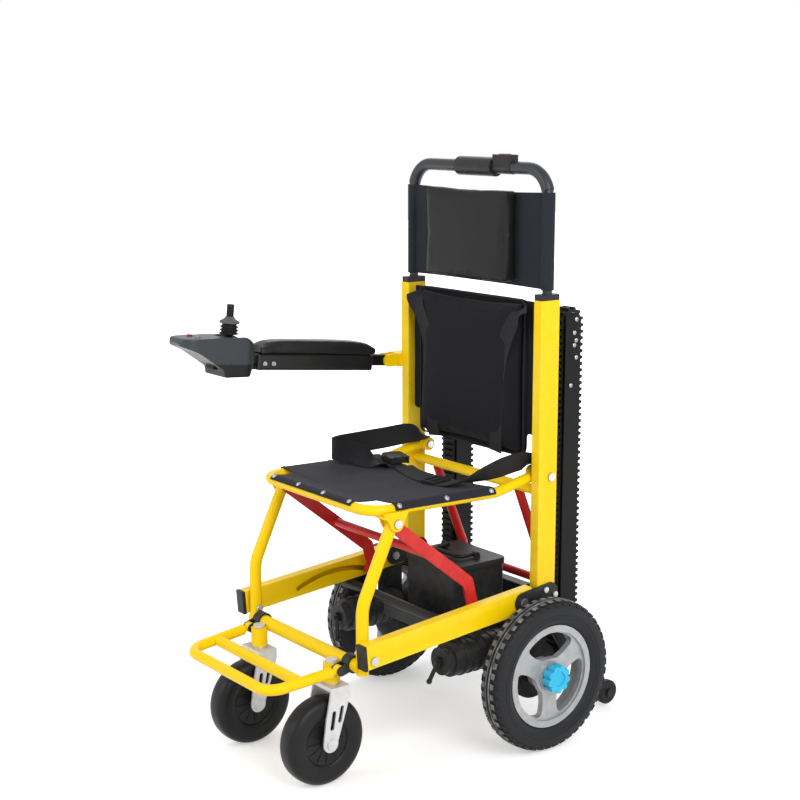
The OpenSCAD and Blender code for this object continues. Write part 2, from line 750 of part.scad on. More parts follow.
// Black clamps on the cross-bar that carry the footrest's hinge pins
module footrest_clamps() {
    ring_d = crossbar_d + 9;
    hinge = [foot_hinge_y, foot_hinge_z];
    half = foot_eye_w / 2 + side_gap;
    color(black) place() both() difference() {
        union() {
            xrod(foot_x - half - foot_ear_t, foot_x + half + foot_ear_t, [crossbar_y, crossbar_z], ring_d);
            for (x = [foot_x - half - foot_ear_t, foot_x + half]) yz_plate(x, x + foot_ear_t)
                bar2([crossbar_y, crossbar_z], hinge, 20);
            xrod(foot_x - half - 1, foot_x + half + 1, hinge, foot_pin_d);
        }
        xrod(foot_x - 40, foot_x + 40, [crossbar_y, crossbar_z], crossbar_d + 0.04);
        difference() {
            xrod(foot_x - half, foot_x + half, hinge, foot_d + 8);
            xrod(foot_x - half - 1, foot_x + half + 1, hinge, foot_pin_d);
        }
    }
}

module footrest() {
    hinge = [foot_hinge_y, foot_hinge_z];
    ends = [p3(foot_x, hinge), [foot_front_x, foot_front_y, foot_front_z]];
    start = mix(ends[0], ends[1], 0.115);
    neck = mix(ends[0], ends[1], 0.15);
    mid = mix(ends[0], ends[1], 0.55);
    flip = [[-1, 0, 0], [0, 1, 0], [0, 0, 1]];
    color(yellow) place() difference() {
        union() {
            bent_tube([start, ends[1], flip * ends[1], flip * start], [38, 38], foot_d);
            rod(mid, flip * mid, foot_d - 4);
            both() {
                xrod(foot_x - foot_eye_w / 2, foot_x + foot_eye_w / 2, hinge, foot_d - 2);
                rod(ends[0], neck, foot_eye_w - 1);
            }
        }
        both() xrod(foot_x - foot_eye_w, foot_x + foot_eye_w, hinge, foot_pin_d + 2 * fit_run);
    }
}

// Caster fork: stem with its cap, crown and two slotted plates, and the axle bolt
module caster_fork(s) {
    axle = [-caster_lead, caster_z];
    crown_bottom = crown_top - crown_t;
    color(silver) place() on_side(s) translate([caster_x, stem_y, 0]) {
        difference() {
            union() {
                translate([0, 0, crown_top - 1])
                    cylinder(h = stem_house_top + side_gap - crown_top + 1, d = stem_d);
                translate([0, 0, stem_house_top + side_gap]) cylinder(h = 6, d = stem_d + 4);
                translate([0, 0, crown_top - 1])
                    cylinder(h = stem_house_bottom - crown_top + 1 - side_gap, d = stem_d + 10);
                translate([-fork_in - fork_t, -23, crown_bottom]) cube([2 * (fork_in + fork_t), 44,
                    crown_t]);
                for (x = [-fork_in - fork_t, fork_in]) yz_plate(x, x + fork_t) {
                    translate(axle) circle(d = 34);
                    polygon([[-23, crown_top - 2], [21, crown_top - 2], [21, crown_bottom - 14],
                        axle + [17, 4], axle + [-17, 4], [-23 - caster_lead * 0.5,
                            (crown_bottom + caster_z) / 2]]);
                }
            }
            for (x = [-fork_in - fork_t - 1, fork_in - 1]) yz_plate(x, x + fork_t + 2) {
                bar2(axle + [3, 32], axle + [8, 62], 9);
                bar2(axle + [21, 44], axle + [27, 70], 8);
            }
        }
        xrod(-fork_in - fork_t - 4, fork_in + fork_t + 4, axle, caster_axle_d);
        for (x = [-fork_in - fork_t - 5, fork_in + fork_t]) xrod(x, x + 5, axle, caster_axle_d + 8);
    }
}
module caster_fork_left() { caster_fork(1); }
module caster_fork_right() { caster_fork(-1); }

module caster_axis(s) {
    place() on_side(s) translate([caster_x, stem_y - caster_lead, caster_z]) rotate([0, 90, 0]) children();
}

module caster_tyre(s) {
    r = caster_d / 2;
    h = caster_w / 2;
    b = caster_rim_d / 2 + 0.2;
    side = [[b, h - 7], [b + 8, h - 2], [r - 14, h], [r - 6, h - 4], [r - 1.5, h - 11], [r, h - 17]];
    color(black) caster_axis(s)
        rotate_extrude($fn = 72) polygon(concat(side, [for (i = [len(side) - 1:-1:0]) [side[i][0],
            -side[i][1]]]));
}
module caster_tyre_left() { caster_tyre(1); }
module caster_tyre_right() { caster_tyre(-1); }

module caster_rim(s) {
    spokes = 5;
    b = caster_rim_d / 2;
    half = caster_w / 2 - 6;
    hub_half = fork_in - side_gap;
    color(black) caster_axis(s) difference() {
        union() {
            difference() {
                translate([0, 0, -half]) cylinder(h = 2 * half, r = b);
                translate([0, 0, -half - 1]) cylinder(h = 2 * half + 2, r = b - 8);
            }
            for (k = [0:spokes - 1]) rotate(360 / spokes * k)
                translate([0, -8, -half + 4]) cube([b - 7, 16, 2 * half - 8]);
            translate([0, 0, -hub_half]) cylinder(h = 2 * hub_half, d = caster_axle_d + 20);
        }
        translate([0, 0, -hub_half - 1]) cylinder(h = 2 * hub_half + 2, d = caster_axle_d + 2 * fit_run);
    }
}
module caster_rim_left() { caster_rim(1); }
module caster_rim_right() { caster_rim(-1); }

// Uprights; the right one carries the ears of the arm rest hinge
module uprights() {
    color(yellow) place() {
        both() difference() {
            translate([inner_x, upright_front, upright_bottom]) cube([tube_w, tube_d,
                upright_top - upright_bottom]);
            translate([inner_x + tube_wall, upright_front + tube_wall, upright_bottom - 1])
                cube([tube_w - 2 * tube_wall, tube_d - 2 * tube_wall, upright_top - upright_bottom + 2]);
            xrod(inner_x - 1, outer_x + 1, piv_b, bolt_d + 0.04);
        }
        on_side(-1) arm_bracket();
    }
}

module arm_bracket() {
    hinge = [arm_pivot_y, arm_pivot_z];
    half = beam_w / 2 + side_gap;
    block_h = 30;
    back_end = upright_y + 4;
    root = [upright_front - 4, arm_pivot_z];
    difference() {
        union() {
            translate([outer_x, upright_front - 8, arm_pivot_z - block_h / 2])
                cube([arm_x + half + ear_t - outer_x, back_end - upright_front + 8, block_h]);
            for (x = [arm_x - half - ear_t, arm_x + half]) yz_plate(x, x + ear_t) bar2(hinge, root,
                block_h - 2);
            xrod(arm_x - half - 1, arm_x + half + 1, hinge, arm_pin_d);
        }
        difference() {
            xrod(arm_x - half, arm_x + half, hinge, 2 * (upright_front - 10 - arm_pivot_y));
            xrod(arm_x - half - 1, arm_x + half + 1, hinge, arm_pin_d);
        }
    }
}

// Plastic caps that guide the push handle's legs
module upright_caps() {
    plug = 16;
    color(black) place() both() difference() {
        union() {
            translate([frame_x, upright_y, upright_top]) linear_extrude(cap_h) rrect(tube_w, tube_d, 4);
            translate([inner_x + tube_wall + 0.1, upright_front + tube_wall + 0.1, upright_top - plug])
                cube([tube_w - 2 * tube_wall - 0.2, tube_d - 2 * tube_wall - 0.2, plug]);
        }
        translate([frame_x, upright_y, upright_top - plug - 1]) cylinder(h = plug + cap_h + 2,
            d = handle_d + 2 * fit_run);
    }
}

module cross_tubes() {
    color(yellow) place() {
        xrod(-inner_x, inner_x, cross_top, cross_d);
        xrod(-inner_x, inner_x, cross_low, cross_d);
    }
}

// Outer and inner plates that carry the uprights on the rails; the inner ones hold the track trunnions
module gusset_plates() {
    track = [track_y, track_bottom_z];
    color(black) place() both() {
        yz_plate(outer_x + side_gap, outer_x + side_gap + gusset_t) difference() {
            bar2(piv_a, gusset_foot, gusset_nose_w);
            translate(piv_a) circle(d = bolt_d + 2 + 2 * fit_run);
        }
        difference() {
            union() {
                yz_plate(gusset_in, gusset_in + gusset_t) {
                    bar2(piv_a, gusset_foot, gusset_nose_w);
                    bar2(gusset_foot, track, gusset_tail_w);
                }
                xrod(track_out - track_plate_t, gusset_in + 1, track, trunnion_d);
            }
            xrod(gusset_in - 1, gusset_in + gusset_t + 1, piv_a, bolt_d + 2 + 2 * fit_run);
            xrod(track_out - track_plate_t - 1, gusset_in + gusset_t + 1, track,
                track_shaft_d + 2 * fit_run);
        }
    }
}

// Seat pivot pins in the uprights and the gusset bolts
module upright_bolts() {
    head = 5;
    low = [gusset_foot + [-14, 8], gusset_foot + [12, -6]];
    color(silver) place() both() {
        xrod(eye_x0 - side_gap, outer_x, piv_b, bolt_d);
        xrod(outer_x, outer_x + head, piv_b, bolt_d + 8);
        xrod(eye_x0 - side_gap - head, eye_x0 - side_gap, piv_b, bolt_d + 6);
        for (p = low) {
            xrod(outer_x + side_gap + gusset_t, outer_x + side_gap + gusset_t + 4, p, bolt_d + 3);
            xrod(outer_x + 0.01, outer_x + side_gap, p, bolt_d + 3);
            xrod(inner_x - side_gap, inner_x - 0.01, p, bolt_d + 3);
        }
    }
}

// Red frame that carries the track motor from the rear cross tube
module track_carrier() {
    reach = unit(carrier_low - cross_low);
    top = cross_low + reach * (cross_d / 2 + 0.05);
    color(red) place() {
        for (x = [-carrier_x, carrier_x]) {
            bent_tube([p3(x, top), p3(x, carrier_low), [x, carrier_low[0], carrier_foot_z + 4]], [40],
                carrier_d);
            translate([x - 11, carrier_low[0] - 13, carrier_foot_z]) cube([22, 26, 5]);
        }
        xrod(-carrier_x - 2, carrier_x + 2, carrier_bar, carrier_d - 2);
        difference() {
            union() for (x = pedal_lugs) yz_plate(x - 5, x) bar2(carrier_bar, pedal_hinge, 14);
            for (x = pedal_lugs) xrod(x - 6, x + 1, pedal_hinge, pedal_pin_d + 2 * fit_run);
        }
    }
}

// Foot pedal that frees the tracks
module track_pedal() {
    x0 = pedal_lugs[0] + side_gap;
    x1 = pedal_lugs[1] - 5 - side_gap;
    color(red) place() {
        xrod(pedal_lugs[0] - 6, pedal_lugs[1] + 1, pedal_hinge, pedal_pin_d);
        xrod(x0, x1, pedal_hinge, 13);
        translate([x0, pedal_hinge[0] - pedal_reach, pedal_hinge[1] - 3]) cube([x1 - x0, pedal_reach, 6]);
        translate([x0, pedal_hinge[0] - pedal_reach - 4, pedal_hinge[1] - 3]) cube([x1 - x0 + 30, 12, 9]);
    }
}

// Track drive motor and gearbox on the hinge line of the tracks
module track_motor() {
    track = [track_y, track_bottom_z];
    beam_z0 = carrier_foot_z - beam_h - 0.05;
    color(black) place() difference() {
        union() {
            translate([-carrier_x - 9, carrier_low[0] - 12, beam_z0]) cube([2 * carrier_x + 18, 26,
                beam_h]);
            translate([-30, carrier_low[0] - 10, track_bottom_z]) cube([60, 24,
                beam_z0 - track_bottom_z + 1]);
            xrod(-62, 62, track, track_gear_d);
            xrod(60, 118, track, track_gear_d - 18);
        }
        xrod(-130, 130, track, track_shaft_d + 2 * fit_run);
    }
}

// Back panel with side wings to the uprights, and its pad
module back_panel() {
    color(black) place() xz_plate(back_y, back_y + panel_t) {
        translate([0, back_bottom + back_h / 2]) rrect(back_w, back_h, 20);
        for (s = [-1, 1]) translate([s * (wing_x - 45), back_bottom + back_h / 2]) rrect(90,
            back_h - 2 * wing_drop, 10);
    }
}

module back_pad() {
    edge = 12;
    color(black) place() translate([0, back_y - edge / 2 - 0.1, back_bottom + back_h / 2]) rotate([90, 0,
        0])
        cushion(back_w - 6, back_h - 8, back_t - edge / 2, edge / 2, edge, 5, 12, 14);
}

// Shoulder straps from the upright tops, lying over the pad
module shoulder_straps() {
    y0 = back_y - back_t - strap_t / 2 - 0.4;
    edge = back_w / 2;
    path = [[[edge + 12, back_y - 15, upright_top - 18], [1, 0, 0.4]],
        [[edge - 12, y0 - 1, upright_top - 42], [1, 0, 0.5]],
        [[edge - 44, y0, upright_top - 100], [1, 0, 0.3]], [[edge - 60, y0, upright_top - 170], [1, 0, 0]],
        [[edge - 66, y0, back_bottom + 42], [1, 0, 0]], [[edge - 70, y0 + 3, back_bottom + 4], [1, 0, 0]]];
    color(black) place() both() webbing(path, strap_w, strap_t);
}

// Seat tube with the front leg brackets and the eyes on the rear pivots
module seat_frame() {
    rear = p3(seat_x, piv_b);
    bend = [seat_x, seat_bend_y, seat_bend_z];
    front = [seat_x, seat_front_y, seat_front_z];
    flip = [[-1, 0, 0], [0, 1, 0], [0, 0, 1]];
    tube_z = mix(seat_bend_z, seat_front_z, (piv_c[0] - seat_bend_y) / (seat_front_y - seat_bend_y));
    web = 5;
    color(yellow) place() difference() {
        union() {
            bent_tube([rear, bend, front, flip * front, flip * bend, flip * rear], [70, seat_corner,
                seat_corner, 70], seat_d);
            both() {
                xrod(eye_x0, eye_x1, piv_b, eye_d);
                for (x = [plate_in, plate_out]) yz_plate(x, x + plate_t) {
                    translate(piv_c) circle(d = 32);
                    polygon([piv_c + [-16, 0], piv_c + [16, 0], [piv_c[0] + 28, tube_z - 2],
                        [piv_c[0] - 34, tube_z - 2]]);
                }
                translate([plate_in, piv_c[0] - 30, tube_z - seat_d / 2 - web / 2])
                    cube([plate_out + plate_t - plate_in, 54, web]);
            }
        }
        both() {
            xrod(eye_x0 - 1, eye_x1 + 1, piv_b, bolt_d + 2 * fit_run);
            xrod(plate_in - 1, plate_out + plate_t + 1, piv_c, bolt_d + 0.04);
        }
    }
}

// Red front brace: two cranked flat bars, a cross bar and the pins in the rail slots
module brace() {
    bar = mix(piv_c, brace_elbow, brace_bar_at);
    color(red) place() {
        both() difference() {
            union() {
                yz_plate(brace_x, brace_x + brace_t) {
                    bar2(piv_c, brace_elbow, brace_w);
                    bar2(brace_elbow, brace_pin, brace_w);
                }
                xrod(brace_x, inner_x + tube_wall + 2, brace_pin, brace_pin_d);
                xrod(brace_x, inner_x - 2, brace_pin, brace_pin_d + 6);
            }
            xrod(brace_x - 1, brace_x + brace_t + 1, piv_c, bolt_d + 0.04);
        }
        xrod(-brace_x - 0.5, brace_x + 0.5, bar, 18);
    }
}

// Bolts through bracket, leg and brace
module bracket_bolts() {
    head = 5;
    color(silver) place() both() {
        xrod(brace_x, plate_out + plate_t, piv_c, bolt_d);
        xrod(plate_out + plate_t, plate_out + plate_t + head, piv_c, bolt_d + 8);
        xrod(brace_x - head, brace_x, piv_c, bolt_d + 6);
    }
}

// Seat fabric: wrapped over the side tubes and the front tube, sagging between them, corners left bare
function seat_tube_z(y) = mix(seat_bend_z, seat_front_z, (y - seat_bend_y) / (seat_front_y - seat_bend_y));
function sling_z(x, y, sag) = seat_tube_z(y) + sling_r - sag * (1 - pow(x / seat_x, 2));
module seat_sling() {
    y0 = seat_bend_y - 10;
    y1 = seat_front_y + seat_corner + 4;
    nx = 12;
    ny = 5;
    wrap = [for (a = [0:18:90]) [seat_x + sling_r * cos(a), sling_r * sin(a)]];
    span = [for (i = [1:nx - 1]) let (t = 1 - 2 * i / nx) [seat_x * t, sling_r - sling_sag * (1 - t * t)]];
    line = concat(wrap, span, [for (i = [len(wrap) - 1:-1:0]) [-wrap[i][0], wrap[i][1]]]);
    last = len(line) - 1;
    normal = function(i) let (v = unit(line[min(i + 1, last)] - line[max(i - 1, 0)])) [v[1], -v[0]];
    at = function(i, j, t) let (y = mix(y1, y0, j / ny), q = line[last - i] + normal(last - i) * t)
        [q[0], y, seat_tube_z(y) + q[1]];
    front_x = seat_x - seat_corner - 3;
    flat = 3;
    turn = 4;
    lift = 60;
    path = function(i, j, t) let (x = mix(-front_x, front_x, i / 8), k = flat + turn - j,
        a = lift + 24 * (k - flat), s = k / flat, y = mix(y1 + 3, seat_front_y + sling_r * cos(lift), s))
        k < flat ? [x, y, sling_z(x, y, sling_sag * (1 - s * s)) - sling_r * (1 - sin(lift)) * s * s + t]
        : [x, seat_front_y + (sling_r + t) * cos(a), seat_front_z + (sling_r + t) * sin(a)];
    color(black) place() {
        sheet(last, ny, function(i, j) at(i, j, sling_t), function(i, j) at(i, j, 0));
        sheet(8, flat + turn, function(i, j) path(i, j, sling_t), function(i, j) path(i, j, 0));
    }
}

// Lap belt halves, anchored on the seat eyes and lying on the seat
module lap_belts() {
    anchor_x = inner_x - belt_strap_w / 2 - 1.5;
    rise_x = inner_x - 17;
    on_eye = eye_d / 2 + belt_strap_t / 2 + 1;
    from_eye = function(x, y, z) [x, piv_b[0] + y, piv_b[1] + z];
    on_seat = function(x, y) [x, y, sling_z(x, y, sling_sag) + sling_t + belt_strap_t / 2 + 1.1];
    left = [[from_eye(anchor_x, 0, on_eye), [1, 0, 0]], [from_eye(rise_x - 2, -22, on_eye + 8), [0.75, 0,
        0.66]],
        [from_eye(rise_x, -50, on_eye + 11), [0.5, 0, 0.87]], [from_eye(rise_x - 6, -84, on_eye + 8),
            [0.6, -0.2, 0.75]],
        [from_eye(152, -132, -3), [0.8, -0.5, 0.3]], [on_seat(114, -128) + [0, 0, 1], [0.45, -1, 0]],
        [on_seat(70, -138), [0.1, -1, 0]], [on_seat(10, -130), [-0.1, -1, 0]], [on_seat(-78, -103),
            [-0.3, -1, 0]]];
    right = [[from_eye(-anchor_x, 0, on_eye), [1, 0, 0]], [from_eye(2 - rise_x, -22, on_eye + 8), [0.75,
        0, -0.66]],
        [from_eye(-rise_x, -50, on_eye + 11), [0.5, 0, -0.87]], [from_eye(-rise_x - 1, -150,
            on_eye + 14), [0.5, 0, -0.87]],
        [from_eye(-rise_x - 4, -268, on_eye + 18), [0.5, 0, -0.87]]];
    color(black) place() {
        webbing(left, belt_strap_w, belt_strap_t);
        webbing(right, belt_strap_w, belt_strap_t);
    }
}

// Belt buckle and slider
module belt_buckle() {
    at = [-118, -92];
    slider = [78, -137];
    seat_top = function(p) sling_z(p[0], p[1], sling_sag) + sling_t;
    color(black) place() {
        translate([at[0], at[1], seat_top(at) + 3.6]) rotate(-17) linear_extrude(14) difference() {
            rrect(66, 46, 10);
            translate([33, 0]) square([14, 32], center = true);
        }
        translate([slider[0], slider[1], seat_top(slider) + belt_strap_t + 3]) rotate(8)
            linear_extrude(4) difference() {
            rrect(40, 58, 6);
            for (x = [-9, 9]) translate([x, 0]) rrect(10, 46, 3);
        }
    }
}

// Push handle: a U tube whose legs slide in the uprights
module push_handle() {
    low = upright_bottom + handle_low;
    leg = [frame_x, upright_y, low];
    corner = [frame_x, upright_y, handle_z];
    flip = [[-1, 0, 0], [0, 1, 0], [0, 0, 1]];
    color(black) place() bent_tube([leg, corner, flip * corner, flip * leg], [handle_bend, handle_bend],
        handle_d);
}

// Head rest panel, sleeved over the handle's legs
module head_panel() {
    color(black) place() difference() {
        union() {
            both() translate([frame_x, upright_y, head_bottom])
                cylinder(h = head_sleeve_top - head_bottom, d = head_sleeve_d);
            xz_plate(upright_y - panel_t / 2, upright_y + panel_t / 2) {
                translate([-frame_x, head_bottom]) square([2 * frame_x, head_sleeve_top - head_bottom]);
                translate([0, (head_bottom + head_top) / 2])
                    rrect(2 * frame_x - handle_d - 10, head_top - head_bottom, 12);
            }
        }
        both() translate([frame_x, upright_y, head_bottom - 1]) cylinder(h = head_top - head_bottom + 2,
            d = handle_d + 0.1);
    }
}

module head_pad() {
    edge = 12;
    color(black) place() translate([0, upright_y - panel_t / 2 - edge / 2 - 0.1, (head_bottom + head_top)
        / 2])
        rotate([90, 0, 0]) cushion(head_w, head_h, head_t - edge / 2, edge / 2, edge, 6, 12, 10);
}

// Grip sleeve and switch pod on the top bar
module handle_pod() {
    bar = [upright_y, handle_z];
    color(black) place() difference() {
        union() {
            xrod(-pod_half, pod_half, bar, pod_d);
            translate([pod_half + pod_len / 2, upright_y, handle_z]) linear_extrude(pod_h) rrect(pod_len,
                pod_d - 12, 6);
            xrod(pod_half - 1, pod_half + pod_len, bar, handle_d + 8);
        }
        xrod(-pod_half - 1, pod_half + pod_len + 1, bar, handle_d + 0.04);
        translate([pod_half + pod_len / 2, upright_y, handle_z + pod_h - switch_deep])
            linear_extrude(switch_deep + 1) rrect(switch_len + 3, switch_w + 1.2, 2);
        translate([pod_half + pod_len / 2, upright_y - switch_w / 2 - 3, switch_z]) rotate([-90, 0, 0])
            cylinder(h = switch_w + 6, d = switch_pin + 2 * fit_run);
    }
}

// Rocker for climbing up or down
module handle_switch() {
    color("#b8322c") place() translate([pod_half + pod_len / 2, upright_y, switch_z]) {
        translate([-switch_len / 2, -switch_w / 2, -2.5]) cube([switch_len, switch_w, 9]);
        translate([0, -switch_w / 2 - 2.6, 0]) rotate([-90, 0, 0]) cylinder(h = switch_w + 5.2,
            d = switch_pin);
    }
}

// Arm rest frame: origin on its pivot, -Y along the arm
module arm_frame() {
    place() translate([-arm_x, arm_pivot_y, arm_pivot_z]) rotate([-arm_rise, 0, 0]) children();
}

module arm_beam() {
    half_h = arm_beam_h / 2;
    color(black) arm_frame() difference() {
        union() {
            translate([-beam_w / 2, 0, 0]) rotate([0, 90, 0]) cylinder(h = beam_w, d = arm_beam_h);
            translate([-beam_w / 2, -arm_beam_len, -half_h]) cube([beam_w, arm_beam_len, arm_beam_h]);
            translate([-arm_bar_w / 2, case_nose_y + 60, -half_h - arm_bar_t]) cube([arm_bar_w,
                arm_bar_len, arm_bar_t]);
        }
        translate([-beam_w, 0, 0]) rotate([0, 90, 0]) cylinder(h = 2 * beam_w, d = arm_pin_d + 2 * fit_run);
    }
}

module arm_pad() {
    edge = 16;
    color(black) arm_frame()
        translate([0, -arm_beam_len - 4 + arm_pad_len / 2, arm_beam_h / 2 + edge / 2 + 0.1])
            cushion(arm_pad_w, arm_pad_len, arm_pad_t - edge / 2, edge / 2, edge, 2, 8, 16);
}

// Controller: blunt rear over the bar, thin nose to the front
module controller_case() {
    pod = [[case_nose_y, 34], [case_nose_y + 8, 42], [case_nose_y + 90, 47], [case_nose_y + 152,
        case_crest],
        [case_nose_y + 168, 40], [case_nose_y + case_len + 20, 12], [case_nose_y + case_len + 8, -14],
        [case_nose_y + case_len, -34], [case_nose_y + 104, -36], [case_nose_y + 100, -20],
            [case_nose_y + 42, 13], [case_nose_y + 4, 26]];
    mid = case_nose_y + (case_len + 20) / 2;
    color("#3d4248") arm_frame() difference() {
        intersection() {
            yz_plate(-case_w / 2, case_w / 2) polygon(pod);
            translate([0, mid, -60]) linear_extrude(140) rrect(case_w, case_len + 20, 34);
        }
        translate([0, stick_y, stick_z - 14]) cylinder(h = 80, d = boot_pocket_d);
        translate([-boot_pocket_d / 2 - 7, stick_y, stick_z]) rotate([0, 90, 0])
            cylinder(h = boot_pocket_d + 14, d = gimbal_d + 2 * fit_run);
        translate([-arm_bar_w / 2 - 0.1, case_nose_y + 59.9, -arm_beam_h / 2 - arm_bar_t - 0.1])
            cube([arm_bar_w + 0.2, case_len, arm_bar_t + 0.2]);
        for (x = button_x) translate([x, button_y, button_floor]) cylinder(h = 40, d = button_d + 0.6);
        translate([-beam_w / 2 - 0.5, -arm_beam_len - 0.5, -arm_beam_h / 2 - 0.1]) cube([beam_w + 1, 60,
            arm_beam_h + 0.2]);
    }
}

// Cross shaft of the joystick: tips the stick forward and back
module joystick_gimbal() {
    color(silver) arm_frame() translate([0, stick_y, stick_z]) difference() {
        union() {
            translate([-boot_pocket_d / 2 - 6, 0, 0]) rotate([0, 90, 0]) cylinder(h = boot_pocket_d + 12,
                d = gimbal_d);
            translate([-8, -8, -7]) cube([16, 16, 14]);
        }
        translate([0, -20, 0]) rotate([-90, 0, 0]) cylinder(h = 40, d = stick_pin_d + 2 * fit_run);
    }
}

// Stick with its ribbed boot, forked over the cross shaft's block
module joystick() {
    rib = 8;
    boot_z = case_crest - stick_z + 2;
    ribs = [for (k = [0:2]) each [[boot_d / 2 - 4, boot_z + rib * k], [boot_d / 2, boot_z + rib * k + 2.5],
        [boot_d / 2 - 4, boot_z + rib * k + 5.5]]];
    cone = boot_z + 3 * rib;
    color(black) arm_frame() translate([0, stick_y, stick_z]) {
        rotate_extrude() polygon(concat([[0, boot_z]], ribs, [[boot_d / 2 + 1, cone + 1],
            [boot_d / 2 + 1, cone + 4],
            [stick_d / 2 + 2, cone + 11], [stick_d / 2, cone + 13], [stick_d / 2, stick_h - 2],
                [stick_d / 2 - 2, stick_h], [0, stick_h]]));
        translate([-5, -12.5, 11]) cube([10, 25, boot_z - 10]);
        for (y = [-12.5, 8.5]) translate([-5, y, -5]) cube([10, 4, 18]);
        translate([0, -12, 0]) rotate([-90, 0, 0]) cylinder(h = 24, d = stick_pin_d);
    }
}

module button(x, tint) {
    color(tint) arm_frame() translate([x, button_y, button_floor + button_travel + 0.4])
        cylinder(h = button_h, d = button_d);
}
module button_power() { button(button_x[0], "#c9362f"); }
module button_horn() { button(button_x[1], "#9aa0a6"); }

// Lead from the controller, held along the outer side of the arm to its pivot
module controller_cable() {
    side = -beam_w / 2 - cable_d / 2 - 0.2;
    start = case_nose_y + case_len + 15;
    path = [[side, start, -6], [side, start + 40, 4], [side, -90, 4], [side, -28, -6]];
    color(black) arm_frame() bent_tube(path, [50, 50], cable_d);
}

// Track side plates, slider beds and the ties between the two tracks
module track_frames() {
    low = [track_y, track_bottom_z];
    high = [track_y, track_top_z];
    bed = pulley_r - 6;
    color(black) place() difference() {
        union() {
            both() {
                for (x = [track_in, track_out - track_plate_t]) yz_plate(x, x + track_plate_t) bar2(low,
                    high, track_plate_w);
                translate([track_in, track_y - bed, track_bottom_z + pulley_r + 6])
                    cube([track_out - track_in, 2 * bed, track_top_z - track_bottom_z - 2 * pulley_r - 12]);
            }
            for (z = tie_z) xrod(-track_in - 1, track_in + 1, [track_y, z], tie_d);
        }
        both() {
            xrod(track_out - track_plate_t - 0.2, track_out + 1, low, trunnion_d + 2 * fit_run);
            xrod(track_in - 1, track_in + track_plate_t + 0.2, low, track_shaft_d + 2 * fit_run);
            xrod(track_in - 1, track_out + 1, high, idler_d + 2 * fit_run);
        }
    }
}

// Lugged belts: straight runs and half turns, each with whole lugs
function lug(base, dir, out, width) =
    [base - dir * width / 2, base - dir * width / 3 + out * lug_h, base + dir * width / 3 + out * lug_h,
        base + dir * width / 2];
module track_belts() {
    run = track_top_z - track_bottom_z;
    r = pulley_r + belt_t;
    n = floor(run / lug_pitch);
    m = floor(PI * r / lug_pitch);
    low = [track_y, track_bottom_z];
    high = [track_y, track_top_z];
    rear = [for (k = [0:n - 1]) each lug(low + [r, run * (k + 0.5) / n], [0, 1], [1, 0], lug_pitch * 0.62)];
    fore = [for (k = [0:n - 1]) each lug(high + [-r, -run * (k + 0.5) / n], [0, -1], [-1, 0],
        lug_pitch * 0.62)];
    over = [for (k = [0:m - 1]) let (a = 180 * (k + 0.5) / m) each lug(high + r * [cos(a), sin(a)],
        [-sin(a), cos(a)], [cos(a), sin(a)], lug_pitch * 0.5)];
    under = [for (k = [0:m - 1]) let (a = 180 + 180 * (k + 0.5) / m) each lug(low + r * [cos(a), sin(a)],
        [-sin(a), cos(a)], [cos(a), sin(a)], lug_pitch * 0.5)];
    color(black) place() both() yz_plate(track_x - belt_w / 2, track_x + belt_w / 2) difference() {
        polygon(concat(rear, over, fore, under));
        translate(low) circle(r = pulley_r);
        translate(high) circle(r = pulley_r);
        translate(low - [pulley_r, 0]) square([2 * pulley_r, run]);
    }
}

module track_drum(yz) { both() xrod(track_x - belt_w / 2 + 0.5, track_x + belt_w / 2 - 0.5, yz,
    2 * pulley_r - 0.8); }

module track_drive_shaft() {
    end = gusset_in + gusset_t - 0.5;
    color(silver) place() {
        xrod(-end, end, [track_y, track_bottom_z], track_shaft_d);
        track_drum([track_y, track_bottom_z]);
    }
}

module track_idler_shaft() {
    color(silver) place() {
        xrod(-track_out - 1, track_out + 1, [track_y, track_top_z], idler_d);
        track_drum([track_y, track_top_z]);
    }
}

lower_rails();
rail_end_caps();
rail_bolts();
axle_beam();
battery_case();
battery_handle();
drive_units();
brake_lever_left();
brake_lever_right();
rear_tyre_left();
rear_tyre_right();
rear_rim_left();
rear_rim_right();
hub_knob_left();
hub_knob_right();
front_frame();
footrest_clamps();
footrest();
caster_fork_left();
caster_fork_right();
caster_tyre_left();
caster_tyre_right();
caster_rim_left();
caster_rim_right();
uprights();
upright_caps();
cross_tubes();
gusset_plates();
upright_bolts();
track_carrier();
track_motor();
track_pedal();
back_panel();
back_pad();
shoulder_straps();
seat_frame();
seat_sling();
brace();
bracket_bolts();
lap_belts();
belt_buckle();
push_handle();
head_panel();
head_pad();
handle_pod();
handle_switch();
arm_beam();
arm_pad();
controller_case();
controller_cable();
joystick_gimbal();
joystick();
button_power();
button_horn();
track_frames();
track_belts();
track_drive_shaft();
track_idler_shaft();
antitip_wheel_left();
antitip_wheel_right();
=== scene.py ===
"""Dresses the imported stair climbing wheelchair: finishes, upholstery, tyres, fittings and a plain stage."""

import json
import math

import bmesh
import bpy
from bpy.props import FloatProperty, FloatVectorProperty, IntProperty, PointerProperty
from mathutils import Matrix, Vector, noise

